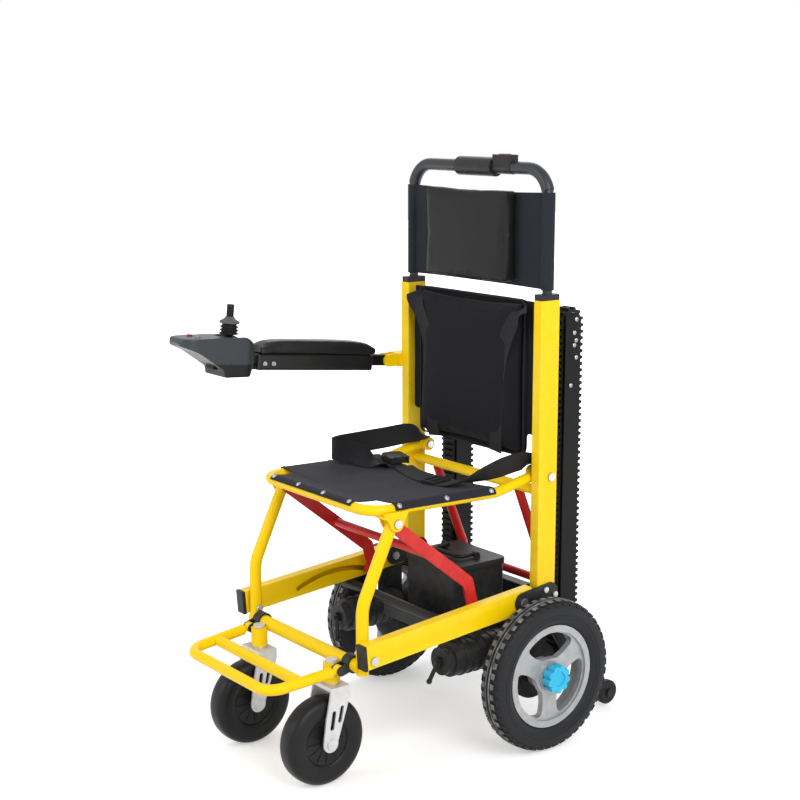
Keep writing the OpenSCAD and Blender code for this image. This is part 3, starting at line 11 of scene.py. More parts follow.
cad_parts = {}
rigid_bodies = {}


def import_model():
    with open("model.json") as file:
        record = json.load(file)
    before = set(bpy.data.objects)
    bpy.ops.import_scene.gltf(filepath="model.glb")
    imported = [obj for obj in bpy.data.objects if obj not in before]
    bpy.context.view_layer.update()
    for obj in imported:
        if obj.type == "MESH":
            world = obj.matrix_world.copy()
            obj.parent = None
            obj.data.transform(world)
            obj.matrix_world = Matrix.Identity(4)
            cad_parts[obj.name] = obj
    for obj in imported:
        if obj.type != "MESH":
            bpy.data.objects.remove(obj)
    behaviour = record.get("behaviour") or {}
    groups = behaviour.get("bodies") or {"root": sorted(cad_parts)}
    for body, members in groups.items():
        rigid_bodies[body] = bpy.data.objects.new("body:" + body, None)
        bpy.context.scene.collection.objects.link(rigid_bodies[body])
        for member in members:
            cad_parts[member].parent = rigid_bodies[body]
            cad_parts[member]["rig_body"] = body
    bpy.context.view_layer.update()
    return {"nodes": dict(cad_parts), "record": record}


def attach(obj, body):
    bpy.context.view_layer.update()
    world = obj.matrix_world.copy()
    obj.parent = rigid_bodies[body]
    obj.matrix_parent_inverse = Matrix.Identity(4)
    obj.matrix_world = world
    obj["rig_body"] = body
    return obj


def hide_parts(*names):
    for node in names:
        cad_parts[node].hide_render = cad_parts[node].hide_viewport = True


bl_info = {
    "name": "Stair climbing wheelchair",
    "version": (1, 0, 0),
    "blender": (4, 5, 0),
    "location": "View3D > Sidebar > Wheelchair",
    "description": "Builds the looks of a stair climbing wheelchair round its packed frame",
    "category": "Object",
}

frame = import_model()
NODES = frame["nodes"]
NODE_BODY = {n: o["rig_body"] for n, o in NODES.items()}

# The model's origin lies under its middle; lengths along Y are written from the rear axle, in millimetres
AXLE_BEHIND = 161.0
ARM_PIVOT = Vector((-253.0, -18.0, 752.0))
ARM_RISE = math.radians(6.0)
REAR_HUB, CASTER_HUB = (270, 0, 160), (131, -466, 90)
FOOT_BAR = (0, -530.25, 229.30)
LEG_X, LEG_Y, LEG_TOP = 217.5, 36.0, 1143.0
STICK_FOOT = (0, -416, 22)
SHARP = math.radians(38)


def place(x, y, z):
    """A point given from the rear axle in millimetres, in the model's metres."""
    return Vector((x, y + AXLE_BEHIND, z)) / 1000.0


def arm_place(x, y, z):
    """A point on the raised arm rest, given from its pivot in millimetres."""
    c, s = math.cos(ARM_RISE), math.sin(ARM_RISE)
    return place(ARM_PIVOT.x + x, ARM_PIVOT.y + y * c + z * s, ARM_PIVOT.z - y * s + z * c)


ARM_UP = (arm_place(0, 0, 1) - arm_place(0, 0, 0)).normalized()


class ChairSizes(bpy.types.PropertyGroup):
    """Sizes of what the scene models itself."""
    tread_pitches: IntProperty(
        name="Tread pitches", description="Blocks in each row round a rear tyre", default=46, min=24, max=80)
    tread_depth: FloatProperty(
        name="Tread depth", description="Height of the tread blocks", default=0.0046, unit="LENGTH")
    pad_swell: FloatProperty(
        name="Pad swell", description="Most that a pad's cover may move out", default=0.006, unit="LENGTH")
    stud: FloatProperty(
        name="Press stud", description="Radius of the seat's press studs", default=0.0055, unit="LENGTH")
    webbing: FloatProperty(
        name="Webbing", description="Thickness of the webbing", default=0.0022, unit="LENGTH")


class ChairColours(bpy.types.PropertyGroup):
    """Main colours of the chair."""
    yellow: FloatVectorProperty(
        name="Frame", description="Paint of the frame", subtype="COLOR", default=(0.90, 0.60, 0.0))
    red: FloatVectorProperty(
        name="Brace", description="Paint of the brace and the track carrier", subtype="COLOR",
        default=(0.56, 0.018, 0.018))
    fabric: FloatVectorProperty(
        name="Fabric", description="Seat and back fabric", subtype="COLOR", default=(0.0075, 0.0075, 0.0105))
    knob: FloatVectorProperty(
        name="Hub knobs", description="Plastic of the hub knobs", subtype="COLOR", default=(0.02, 0.46, 0.72))
    rim: FloatVectorProperty(
        name="Rims", description="Cast rear rims", subtype="COLOR", default=(0.33, 0.335, 0.345))


class StageSettings(bpy.types.PropertyGroup):
    """Camera and light."""
    azimuth: FloatProperty(
        name="Azimuth", description="Turn of the camera round the chair", subtype="ANGLE", unit="ROTATION",
        default=math.radians(52.39))
    elevation: FloatProperty(
        name="Elevation", description="Height of the camera above the horizon", subtype="ANGLE",
        unit="ROTATION", default=math.radians(10.69))
    lens: FloatProperty(name="Lens", description="Focal length in millimetres", default=69.82, min=20, max=200)
    key: FloatProperty(name="Key light", description="Power of the key light in watts", default=88.0, min=0)
    sky: FloatProperty(name="Sky light", description="Strength of the even light", default=0.62, min=0)


# Selecting and shaping

def clear():
    """Object mode, nothing selected."""
    if bpy.context.mode != "OBJECT":
        bpy.ops.object.mode_set(mode="OBJECT")
    bpy.ops.object.select_all(action="DESELECT")


def pick(obj):
    """Makes an object the only one selected."""
    clear()
    obj.select_set(True)
    bpy.context.view_layer.objects.active = obj
    return obj


def edit(obj):
    """Edit mode with all of a mesh selected."""
    pick(obj)
    bpy.ops.object.mode_set(mode="EDIT")
    bpy.ops.mesh.select_all(action="SELECT")


def done():
    """Back to object mode."""
    bpy.ops.object.mode_set(mode="OBJECT")


def face_out(obj):
    """Turns all faces outwards."""
    edit(obj)
    bpy.ops.mesh.normals_make_consistent(inside=False)
    done()


def select_edges(obj, test):
    """Selects the edges between two faces that pass a test and says how many there are."""
    bpy.ops.mesh.select_mode(type="EDGE")
    bpy.ops.mesh.select_all(action="DESELECT")
    mesh = bmesh.from_edit_mesh(obj.data)
    found = [e for e in mesh.edges if len(e.link_faces) == 2 and test(e)]
    for e in found:
        e.select_set(True)
    bmesh.update_edit_mesh(obj.data)
    return len(found)


def apply(obj, kind, **values):
    """Adds a modifier with its values and applies it."""
    pick(obj)
    modifier = obj.modifiers.new(kind.title(), kind)
    for key, value in values.items():
        setattr(modifier, key, value)
    bpy.ops.object.modifier_apply(modifier=modifier.name)


def settle(obj, name, body, finish, stands_for=(), angle=35.0, hard=True):
    """Puts a finished piece on its body with its finish."""
    pick(obj)
    bpy.ops.object.transform_apply(location=True, rotation=True, scale=True)
    bpy.ops.object.shade_smooth_by_angle(angle=math.radians(angle))
    if hard:
        apply(obj, "WEIGHTED_NORMAL", keep_sharp=True)
    obj.name = obj.data.name = name
    obj.data.materials.clear()
    obj.data.materials.append(FINISHES[finish])
    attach(obj, body)
    if stands_for:
        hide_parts(*stands_for)
    clear()
    return obj


def copy_of(node):
    """A merged copy of a CAD node's mesh, with its flat faces whole."""
    obj = bpy.data.objects.new(node + "_copy", NODES[node].data.copy())
    bpy.context.scene.collection.objects.link(obj)
    pick(obj)
    if obj.data.has_custom_normals:
        bpy.ops.mesh.customdata_custom_splitnormals_clear()
    edit(obj)
    bpy.ops.mesh.remove_doubles(threshold=2e-5)
    bpy.ops.mesh.mark_sharp(clear=True)
    bpy.ops.mesh.dissolve_limited(angle_limit=math.radians(0.6))
    done()
    return obj


def mark_wear_and_highlight(obj, values):
    """Says for each point how worn the finish is there; on the rear tyres the same mark also places a painted
    highlight on the tread tops.
    """
    obj.data.attributes.new("edge_wear", "FLOAT", "POINT").data.foreach_set("value", values)


def rounded(node, width, longer):
    """The node with its sharp edges rounded, if longer than a limit; the rounding is marked for wear."""
    obj = copy_of(node)
    edit(obj)
    if select_edges(obj, lambda e: e.calc_face_angle(0.0) > SHARP and e.calc_length() > longer):
        bpy.ops.mesh.bevel(offset=width, segments=2, clamp_overlap=True, affect="EDGES")
    done()
    mark_wear_and_highlight(obj, [1.0 if v.select else 0.0 for v in obj.data.vertices])
    return settle(obj, node + "_rounded", NODE_BODY[node], look_of(node), [node])


def box_form(size, edge, spot=(0, 0, 0), turn=0.0, segments=3):
    """A bevelled box, its sizes in millimetres, turned about X and put at a spot."""
    bpy.ops.mesh.primitive_cube_add(size=1.0)
    obj = bpy.context.object
    obj.data.transform(Matrix.Diagonal((*[s / 1000 for s in size], 1.0)))
    edit(obj)
    bpy.ops.mesh.bevel(offset=edge / 1000, segments=segments, affect="EDGES")
    done()
    obj.data.transform(Matrix.Translation(spot) @ Matrix.Rotation(turn, 4, "X"))
    return obj


def lathe(profile, steps, spot, axis=(1, 0, 0), closed=True):
    """A profile of (along, radius) pairs in metres, spun about an axis through a spot."""
    bpy.ops.mesh.primitive_circle_add(vertices=len(profile), radius=0.01)
    obj = bpy.context.object
    for vertex, (along, radius) in zip(obj.data.vertices, profile):
        vertex.co = (along, 0.0, radius)
    if not closed:
        edit(obj)
        last = len(profile) - 1
        bpy.ops.mesh.select_mode(type="EDGE")
        bpy.ops.mesh.select_all(action="DESELECT")
        mesh = bmesh.from_edit_mesh(obj.data)
        for e in mesh.edges:
            e.select_set({v.index for v in e.verts} == {0, last})
        bmesh.update_edit_mesh(obj.data)
        bpy.ops.mesh.delete(type="EDGE")
    edit(obj)
    bpy.ops.mesh.spin(steps=steps, angle=2 * math.pi, center=(0, 0, 0), axis=(1, 0, 0))
    bpy.ops.mesh.select_all(action="SELECT")
    bpy.ops.mesh.remove_doubles(threshold=1e-6)
    bpy.ops.mesh.dissolve_degenerate(threshold=1e-7)
    bpy.ops.mesh.normals_make_consistent(inside=False)
    done()
    turn = Vector((1, 0, 0)).rotation_difference(Vector(axis)).to_matrix().to_4x4()
    obj.data.transform(Matrix.Translation(spot) @ turn)
    return obj


def joined(objs):
    """Several objects as one."""
    clear()
    for obj in objs:
        obj.select_set(True)
    bpy.context.view_layer.objects.active = objs[0]
    if len(objs) > 1:
        bpy.ops.object.join()
    return objs[0]


def copies(obj, spots):
    """The object and copies of it, moved from its own place by each further offset, as one object."""
    found = [obj]
    for spot in spots:
        twin = bpy.data.objects.new(obj.name, obj.data.copy())
        twin.data.transform(Matrix.Translation(spot))
        bpy.context.scene.collection.objects.link(twin)
        found.append(twin)
    return joined(found)


def smooth_line(points, parts):
    """A smooth line through points, as many parts between each two."""
    ends = [points[0] * 2 - points[1]] + points + [points[-1] * 2 - points[-2]]
    line = []
    for i in range(1, len(ends) - 2):
        a, b, c, d = ends[i - 1:i + 3]
        for k in range(parts):
            t = k / parts
            line.append(0.5 * (2 * b + (c - a) * t + (2 * a - 5 * b + 4 * c - d) * t ** 2
                               + (3 * b - a - 3 * c + d) * t ** 3))
    return line + [points[-1]]


def mesh_object(name, points, faces):
    """A new object from points and faces."""
    mesh = bpy.data.meshes.new(name)
    mesh.from_pydata([tuple(p) for p in points], [], faces)
    mesh.update()
    obj = bpy.data.objects.new(name, mesh)
    bpy.context.scene.collection.objects.link(obj)
    return obj


def lofted(name, rings):
    """A skin through rings of points, with both ends filled."""
    count = len(rings[0])
    faces = [(i * count + k, i * count + (k + 1) % count, (i + 1) * count + (k + 1) % count, (i + 1) * count + k)
             for i in range(len(rings) - 1) for k in range(count)]
    faces += [tuple(range(count - 1, -1, -1)), tuple(range((len(rings) - 1) * count, len(rings) * count))]
    obj = mesh_object(name, [p for ring in rings for p in ring], faces)
    face_out(obj)
    return obj


def ribbon(steps, width, thick, parts=8, lip=0.0022):
    """Webbing along a smooth path of (point, direction across), with rolled edges and a UV map in metres."""
    spine = smooth_line([p for p, _ in steps], parts)
    across = [v.normalized() for v in smooth_line([Vector(a) for _, a in steps], parts)]
    half = width / 2
    shape = [(-half, 0.0), (-half + lip * 0.4, 0.62), (-half + lip, 0.5), (0, 0.44), (half - lip, 0.5),
             (half - lip * 0.4, 0.62), (half, 0.0)]
    shape += [(x, -z) for x, z in reversed(shape[1:-1])]
    rings, run = [], [0.0]
    for i, p in enumerate(spine):
        along = (spine[min(i + 1, len(spine) - 1)] - spine[max(i - 1, 0)]).normalized()
        side = (across[i] - along * across[i].dot(along)).normalized()
        up = along.cross(side)
        rings.append([p + side * x + up * (z * thick) for x, z in shape])
        if i:
            run.append(run[-1] + (p - spine[i - 1]).length)
    obj = lofted("webbing", rings)
    layer = obj.data.uv_layers.new(name="UVMap")
    for loop in obj.data.loops:
        i, k = divmod(loop.vertex_index, len(shape))
        layer.data[loop.index].uv = (shape[k][0], run[i])
    return obj


# Stuffing of the pads: how far their form is drawn in first, steps of the simulation and values of the cloth
DRAWN_IN = 0.0012
STUFF_STEPS = 20
STUFFING = {"quality": 5, "mass": 0.25, "tension_stiffness": 18, "compression_stiffness": 18,
            "bending_stiffness": 1.2, "use_pressure": True}


def flat_behind(y):
    """Keeps the points of a pad in front of what it rests on."""
    limit = place(0, y, 0).y

    def keep(vertex):
        vertex.co.y = min(vertex.co.y, limit)
    return keep


def upholstered(obj, keep_flat, voxel, cap, pressure, relax=6, crumple=0.0):
    """A pad from a closed form: remeshed, blown up as stuffed cloth, and held to a cap."""
    edit(obj)
    bpy.ops.transform.shrink_fatten(value=-DRAWN_IN)
    done()
    obj.data.remesh_voxel_size = voxel
    pick(obj)
    bpy.ops.object.voxel_remesh()
    apply(obj, "SMOOTH", factor=0.5, iterations=relax)
    start = [v.co.copy() for v in obj.data.vertices]
    if pressure:
        cloth = obj.modifiers.new("Stuffing", "CLOTH")
        for key, value in STUFFING.items():
            setattr(cloth.settings, key, value)
        cloth.settings.uniform_pressure_force = pressure
        cloth.settings.effector_weights.gravity = 0.0
        for step in range(1, STUFF_STEPS + 1):
            bpy.context.scene.frame_set(step)
        pick(obj)
        bpy.ops.object.modifier_apply(modifier=cloth.name)
        bpy.context.scene.frame_set(1)
    for vertex, old in zip(obj.data.vertices, start):
        move = vertex.co - old
        if move.length > cap:
            vertex.co = old + move * (cap / move.length)
        if crumple:
            wave = noise.noise(vertex.co * 14.0) + 0.5 * noise.noise(vertex.co * 37.0)
            vertex.co += vertex.normal * (crumple * wave)
        keep_flat(vertex)
    apply(obj, "SUBSURF", levels=1, render_levels=1)
    return obj


# Finishes

FINISHES = {}


def group(name, build):
    """A shader group that takes a vector and a scale and puts out a shade and a height."""
    tree = bpy.data.node_groups.new(name, "ShaderNodeTree")
    tree.interface.new_socket("Vector", in_out="INPUT", socket_type="NodeSocketVector")
    tree.interface.new_socket("Scale", in_out="INPUT", socket_type="NodeSocketFloat").default_value = 100.0
    for label in ("Shade", "Height"):
        tree.interface.new_socket(label, in_out="OUTPUT", socket_type="NodeSocketFloat")
    start, end = tree.nodes.new("NodeGroupInput"), tree.nodes.new("NodeGroupOutput")
    shade, height = build(tree, start.outputs["Vector"], start.outputs["Scale"])
    tree.links.new(shade, end.inputs["Shade"])
    tree.links.new(height, end.inputs["Height"])
    return tree


def add_node(tree, kind, values=None, **settings):
    """A shader node with its settings; each named input takes a value or a link."""
    node = tree.nodes.new("ShaderNode" + kind)
    for key, value in settings.items():
        setattr(node, key, value)
    for key, value in (values or {}).items():
        if isinstance(value, bpy.types.NodeSocket):
            tree.links.new(value, node.inputs[key])
        else:
            node.inputs[key].default_value = value
    return node


def calc(tree, operation, *values):
    """The result of a math node."""
    return add_node(tree, "Math", dict(enumerate(values)), operation=operation).outputs[0]


def noise_node(tree, vector, scale, detail):
    """The value of a noise."""
    return add_node(tree, "TexNoise", {"Vector": vector, "Scale": scale, "Detail": detail}).outputs["Fac"]


def grain(tree, vector, scale):
    """Fine moulded grain over slow patches."""
    fine = noise_node(tree, vector, scale, 3.0)
    slow = noise_node(tree, vector, calc(tree, "MULTIPLY", scale, 0.03), 4.0)
    return slow, fine


def coat(tree, vector, scale):
    """Orange peel of sprayed paint, with faint dust."""
    peel = noise_node(tree, vector, scale, 1.0)
    dust = noise_node(tree, vector, calc(tree, "MULTIPLY", scale, 0.06), 5.0)
    return dust, peel


def weave(tree, vector, scale):
    """Plain weave of threads along X and across it, with slow patches."""
    parts = add_node(tree, "SeparateXYZ", {0: vector})
    turn = calc(tree, "MULTIPLY", scale, 2 * math.pi)
    warp = calc(tree, "SINE", calc(tree, "MULTIPLY", parts.outputs["X"], turn))
    rise = calc(tree, "ADD", parts.outputs["Y"], parts.outputs["Z"])
    weft = calc(tree, "SINE", calc(tree, "MULTIPLY", rise, turn))
    knit = calc(tree, "MULTIPLY_ADD", calc(tree, "MULTIPLY", warp, weft), 0.5, 0.5)
    patch, fleck = noise_node(tree, vector, 22.0, 5.0), noise_node(tree, vector, 900.0, 2.0)
    return calc(tree, "MULTIPLY", calc(tree, "ADD", patch, fleck), 0.5), knit


def brushed(tree, vector, scale):
    """Fine streaks of brushed or cast metal."""
    stretch = add_node(tree, "Mapping", {"Vector": vector, "Scale": (1.0, 1.0, 0.08)})
    streak = noise_node(tree, stretch.outputs[0], scale, 3.0)
    return noise_node(tree, vector, calc(tree, "MULTIPLY", scale, 0.04), 4.0), streak


# Finishes: colour or the name of one of the chair's colours, roughness, pattern, its scale and its depth in
# millimetres, how far the pattern swings the colour and the roughness, and what else the finish has
LOOKS = {
    "yellow paint": ("yellow", 0.34, coat, 420, 0.04, 0.03, 0.05,
                     {"coating": 0.08, "wear": (0.98, 0.72, 0.05), "shine": 0.15}),
    "red paint": ("red", 0.32, coat, 420, 0.04, 0.1, 0.06,
                  {"coating": 0.1, "wear": (0.7, 0.06, 0.05), "shine": 0.15}),
    "black paint": ((0.010, 0.010, 0.0105), 0.42, coat, 600, 0.05, 0.3, 0.1, {"wear": (0.06, 0.06, 0.06)}),
    "handle paint": ((0.017, 0.019, 0.023), 0.40, coat, 700, 0.04, 0.2, 0.08, {"shine": 0.4}),
    "black plastic": ((0.009, 0.009, 0.0095), 0.44, grain, 1500, 0.06, 0.3, 0.1, {"wear": (0.04, 0.04, 0.04)}),
    "grey plastic": ((0.026, 0.032, 0.039), 0.40, grain, 1700, 0.06, 0.14, 0.08,
                     {"shine": 0.4, "wear": (0.06, 0.07, 0.08)}),
    "collar plastic": ((0.085, 0.085, 0.088), 0.5, grain, 1500, 0.05, 0.15, 0.08, {}),
    "black rubber": ((0.0075, 0.0075, 0.008), 0.6, grain, 1100, 0.12, 0.4, 0.12, {"wear": (0.02, 0.02, 0.02)}),
    # Tyre rubber's wear colour paints the tread tops pale grey: partly wear, partly a painted highlight of the
    # light on the tread.
    "tyre rubber": ((0.0115, 0.012, 0.0135), 0.55, grain, 900, 0.10, 0.35, 0.12, {"wear": (0.55, 0.55, 0.56)}),
    "caster rubber": ((0.0062, 0.0062, 0.0065), 0.42, grain, 900, 0.08, 0.3, 0.1, {}),
    "cast rim": ("rim", 0.36, brushed, 500, 0.04, 0.08, 0.06,
                 {"metal": 0.35, "shine": 0.5, "wear": (0.55, 0.55, 0.56)}),
    "black alloy": ((0.0048, 0.0047, 0.0046), 0.48, coat, 700, 0.04, 0.3, 0.1,
                    {"wear": (0.02, 0.02, 0.02), "shine": 0.15}),
    "steel": ((0.40, 0.405, 0.41), 0.3, brushed, 800, 0.04, 0.1, 0.08,
              {"metal": 0.9, "shine": 0.5, "wear": (0.85, 0.85, 0.85)}),
    "fork alloy": ((0.58, 0.58, 0.585), 0.42, brushed, 700, 0.04, 0.08, 0.08,
                   {"metal": 0.45, "shine": 0.5, "wear": (0.8, 0.8, 0.8)}),
    "cyan plastic": ("knob", 0.36, grain, 1300, 0.05, 0.1, 0.06, {"wear": (0.10, 0.58, 0.82)}),
    "red plastic": ((0.30, 0.012, 0.010), 0.35, grain, 1300, 0.04, 0.1, 0.05, {"wear": (0.4, 0.06, 0.05)}),
    "light plastic": ((0.20, 0.21, 0.225), 0.4, grain, 1300, 0.04, 0.1, 0.05, {"wear": (0.3, 0.3, 0.3)}),
    "back fabric": ("fabric", 0.85, weave, 620, 0.18, 0.35, 0.08, {"sheen": 0.04, "shine": 0.15}),
    # The seat fabric is set lighter than the back fabric to stand for the light falling on the seat's top: painted
    # light.
    "seat fabric": ((0.019, 0.0185, 0.026), 0.82, weave, 560, 0.2, 0.35, 0.08, {"sheen": 0.05, "shine": 0.15}),
    "head fabric": ((0.013, 0.0155, 0.021), 0.78, weave, 620, 0.18, 0.3, 0.08, {"sheen": 0.04, "shine": 0.2}),
    "pad vinyl": ((0.0065, 0.0065, 0.0065), 0.5, grain, 800, 0.14, 0.3, 0.1, {"shine": 0.2}),
    "arm vinyl": ((0.008, 0.008, 0.0085), 0.38, grain, 800, 0.12, 0.3, 0.08, {"shine": 0.4}),
    "webbing": ((0.0105, 0.0105, 0.0125), 0.72, weave, 420, 0.3, 0.35, 0.08,
                {"sheen": 0.04, "on_uv": True, "shine": 0.2}),
}
COAT_ROUGH = 0.12


def new_material(name):
    """A material with no nodes yet, and its tree."""
    material = bpy.data.materials.new(name)
    material.use_nodes = True
    material.node_tree.nodes.clear()
    return material, material.node_tree


def finish(name, colour, rough, pattern, scale, depth, tone, swing, metal=0.0, coating=0.0, sheen=0.0, wear=None,
           on_uv=False, shine=0.25):
    """A material whose colour, roughness and relief follow a pattern; marked points show the wear colour, which is
    wear on rounded edges and, on the rear tyres, partly a painted highlight on the tread tops.
    """
    material, tree = new_material(name)
    where = add_node(tree, "TexCoord").outputs["UV" if on_uv else "Object"]
    look = add_node(tree, "Group", {"Scale": scale, "Vector": where}, node_tree=pattern)
    shade = look.outputs["Shade"]
    dark, pale = [c * (1 - tone) for c in colour], [min(1.0, c * (1 + tone)) for c in colour]
    shown = add_node(tree, "Mix", {"A": (*dark, 1), "B": (*pale, 1), "Factor": shade},
                     data_type="RGBA").outputs["Result"]
    # Marked points take the wear colour: wear on rounded edges, and on the tyre tread partly a painted highlight.
    if wear:
        edge = add_node(tree, "Attribute", attribute_name="edge_wear").outputs["Fac"]
        worn_and_lit = calc(tree, "MULTIPLY", edge, calc(tree, "POWER", noise_node(tree, where, 60.0, 4.0), 2.0))
        shown = add_node(tree, "Mix", {"A": shown, "B": (*wear, 1), "Factor": worn_and_lit},
                         data_type="RGBA").outputs["Result"]
    span = add_node(tree, "MapRange", {"Value": shade, "To Min": max(0.02, rough - swing),
                                       "To Max": min(1.0, rough + swing)})
    bump = add_node(tree, "Bump", {"Strength": 1.0, "Distance": depth, "Height": look.outputs["Height"]})
    shader = add_node(tree, "BsdfPrincipled", {
        "Base Color": shown, "Roughness": span.outputs[0], "Normal": bump.outputs[0], "Metallic": metal,
        "Specular IOR Level": shine, "Coat Weight": coating, "Coat Roughness": COAT_ROUGH, "Sheen Weight": sheen})
    add_node(tree, "OutputMaterial", {"Surface": shader.outputs[0]})
    FINISHES[name] = material


def make_finishes(colours):
    """All finishes, with one shader group for each pattern."""
    groups = {grain: "moulded grain", coat: "sprayed coat", weave: "plain weave", brushed: "brushed metal"}
    groups = {build: group(title, build) for build, title in groups.items()}
    for name, (colour, rough, pattern, scale, depth, tone, swing, more) in LOOKS.items():
        colour = getattr(colours, colour) if isinstance(colour, str) else colour
        finish(name, colour, rough, groups[pattern], scale, depth / 1000, tone, swing, **more)


# Slots and nodes whose finish has another name than the slot
SLOT_LOOK = {"tyre": "tyre rubber", "black_fabric": "back fabric", "black_padding": "pad vinyl"}
NODE_LOOK = {"push_handle": "handle paint", "caster_fork_left": "fork alloy", "caster_fork_right": "fork alloy"}
NODE_SLOT = {s["node"]: s["material_slot"] for s in frame["record"]["subparts"]}


def look_of(node):
    """The finish of a CAD node."""
    slot = NODE_SLOT[node]
    return NODE_LOOK.get(node) or SLOT_LOOK.get(slot) or slot.replace("_", " ")


class WHEELCHAIR_OT_finishes(bpy.types.Operator):
    """Makes the finishes and gives each CAD node its own"""
    bl_idname = "wheelchair.finishes"
    bl_label = "Finishes"

    def execute(self, context):
        make_finishes(context.scene.chair_colours)
        for node, obj in NODES.items():
            obj.data.materials.clear()
            obj.data.materials.append(FINISHES[look_of(node)])
        return {"FINISHED"}


CAMERA_AT = (2.5015, -1.9368, 1.3112)
SENSOR = 36.0
# Lamps: place and size in metres, share of the key light; they look at a point over the seat's middle
LAMPS = [((3.2, -0.6, 2.6), 2.2, 1.0), ((-0.9, -3.2, 2.4), 2.4, 0.55), ((-2.2, 2.4, 2.8), 2.2, 0.35)]
LAMP_AIM = Vector((0, 0, 0.6))
FLOOR_SIZE, FLOOR_GREY = 24.0, (0.80, 0.80, 0.80, 1)
# The floor's glow grows from the chair out to white
FLOOR_FADE = {"From Min": 0.8, "From Max": 2.4, "To Min": 0.42, "To Max": 1.3}


def aim(obj, direction):
    """Turns the camera or a lamp to look along a direction."""
    obj.rotation_mode = "QUATERNION"
    obj.rotation_quaternion = direction.to_track_quat("-Z", "Y")


class WHEELCHAIR_OT_stage(bpy.types.Operator):
    """Pale floor, soft light and the camera"""
    bl_idname = "wheelchair.stage"
    bl_label = "Stage"

    def execute(self, context):
        scene, settings = context.scene, context.scene.chair_stage
        bpy.ops.mesh.primitive_plane_add(size=FLOOR_SIZE, location=(0, 0, 0))
        floor = context.object
        edit(floor)
        bpy.ops.mesh.subdivide(number_cuts=3)
        done()
        floor.name = "floor"
        floor.data.materials.append(self.backdrop("pale floor"))
        scene.world = scene.world or bpy.data.worlds.new("sky")
        scene.world.use_nodes = True
        self.sky(scene.world.node_tree, settings.sky)
        a, e = settings.azimuth, settings.elevation
        bpy.ops.object.camera_add(location=CAMERA_AT)
        camera = context.object
        aim(camera, Vector((-math.sin(a) * math.cos(e), math.cos(a) * math.cos(e), -math.sin(e))))
        camera.data.sensor_width, camera.data.lens = SENSOR, settings.lens
        scene.camera = camera
        for spot, size, share in LAMPS:
            bpy.ops.object.light_add(type="AREA", location=spot)
            lamp = context.object
            lamp.data.size, lamp.data.energy = size, settings.key * share
            aim(lamp, LAMP_AIM - Vector(spot))
        scene.view_settings.view_transform = "Standard"
        clear()
        return {"FINISHED"}

    def seen(self, tree):
        """1 for what the camera sees straight, in metal or through glass."""
        path = add_node(tree, "LightPath")
        seen = calc(tree, "MAXIMUM", path.outputs["Is Camera Ray"], path.outputs["Is Glossy Ray"])
        return calc(tree, "MAXIMUM", seen, path.outputs["Is Transmission Ray"])

    def backdrop(self, name):
        """A floor that takes shadows and turns white further out."""
        material, tree = new_material(name)
        where = add_node(tree, "TexCoord").outputs["Object"]
        far = add_node(tree, "VectorMath", {0: where}, operation="LENGTH").outputs["Value"]
        fade = add_node(tree, "MapRange", {"Value": far, **FLOOR_FADE}, interpolation_type="SMOOTHSTEP")
        glow = add_node(tree, "Emission", {"Strength": calc(tree, "MULTIPLY", self.seen(tree), fade.outputs[0])})
        soft = add_node(tree, "BsdfDiffuse", {"Color": FLOOR_GREY})
        both = add_node(tree, "AddShader", {0: soft.outputs[0], 1: glow.outputs[0]})
        add_node(tree, "OutputMaterial", {"Surface": both.outputs[0]})
        return material

    def sky(self, tree, strength):
        """Even light, seen as white."""
        tree.nodes.clear()
        level = add_node(tree, "MapRange", {"Value": self.seen(tree), "To Min": strength, "To Max": 1.0})
        light = add_node(tree, "Background", {"Strength": level.outputs[0], "Color": (1, 1, 1, 1)})
        add_node(tree, "OutputWorld", {"Surface": light.outputs[0]})


class WHEELCHAIR_OT_foot_tread(bpy.types.Operator):
    """Sleeve over the foot rest's middle bar"""
    bl_idname = "wheelchair.foot_tread"
    bl_label = "Foot rest tread"

    def execute(self, context):
        wall, ends = 0.0113, 0.1429
        profile = [(-ends, 0.0085), (-ends + 0.002, wall - 0.0005), (-ends + 0.004, wall), (ends - 0.004, wall),
                   (ends - 0.002, wall - 0.0005), (ends, 0.0085)]
        tread = lathe(profile, 40, place(*FOOT_BAR))
        settle(tread, "footrest_tread", "footrest", "yellow paint")
        return {"FINISHED"}


# Round edges: node, or the start of a left and a right node's name, width and shortest edge in millimetres
EDGES = [
    ("lower_rails", 2.6, 200), ("uprights", 2.6, 200), ("gusset_plates", 0.8, 0), ("rail_end_caps", 1.6, 20),
    ("upright_caps", 1.4, 0), ("battery_case", 2.2, 0), ("brace", 1.0, 0), ("rail_bolts", 1.0, 0),
    ("upright_bolts", 1.0, 0), ("bracket_bolts", 1.0, 0), ("rear_rim_", 1.8, 0), ("hub_knob_", 1.6, 0),
    ("caster_fork_", 0.9, 0), ("caster_rim_", 1.2, 0), ("footrest_clamps", 0.9, 0), ("track_frames", 0.9, 0),
    ("belt_buckle", 1.2, 0), ("handle_pod", 1.6, 0), ("arm_beam", 1.2, 20), ("drive_units", 1.6, 0),
    ("track_motor", 1.6, 0), ("handle_switch", 0.9, 0), ("button_power", 0.9, 0), ("button_horn", 0.9, 0),
    ("track_pedal", 1.0, 0), ("antitip_wheel_", 1.0, 0),
]


class WHEELCHAIR_OT_edges(bpy.types.Operator):
    """Rounds the edges of the metal and plastic parts"""
    bl_idname = "wheelchair.edges"
    bl_label = "Rounded parts"

    def execute(self, context):
        for name, width, longer in EDGES:
            for node in (name + "left", name + "right") if name.endswith("_") else (name,):
                obj = rounded(node, width / 1000, longer / 1000)
                if node == "arm_beam":
                    self.trim_bar(obj)
        return {"FINISHED"}

    def trim_bar(self, obj, reach=-470, shorter=0.030):
        """Ends the flat bar just ahead of the controller's base."""
        start, along = arm_place(0, reach, 0), (arm_place(0, 1, 0) - arm_place(0, 0, 0)).normalized()
        for vertex in obj.data.vertices:
            if (vertex.co - start).dot(along) < 0:
                vertex.co += along * shorter


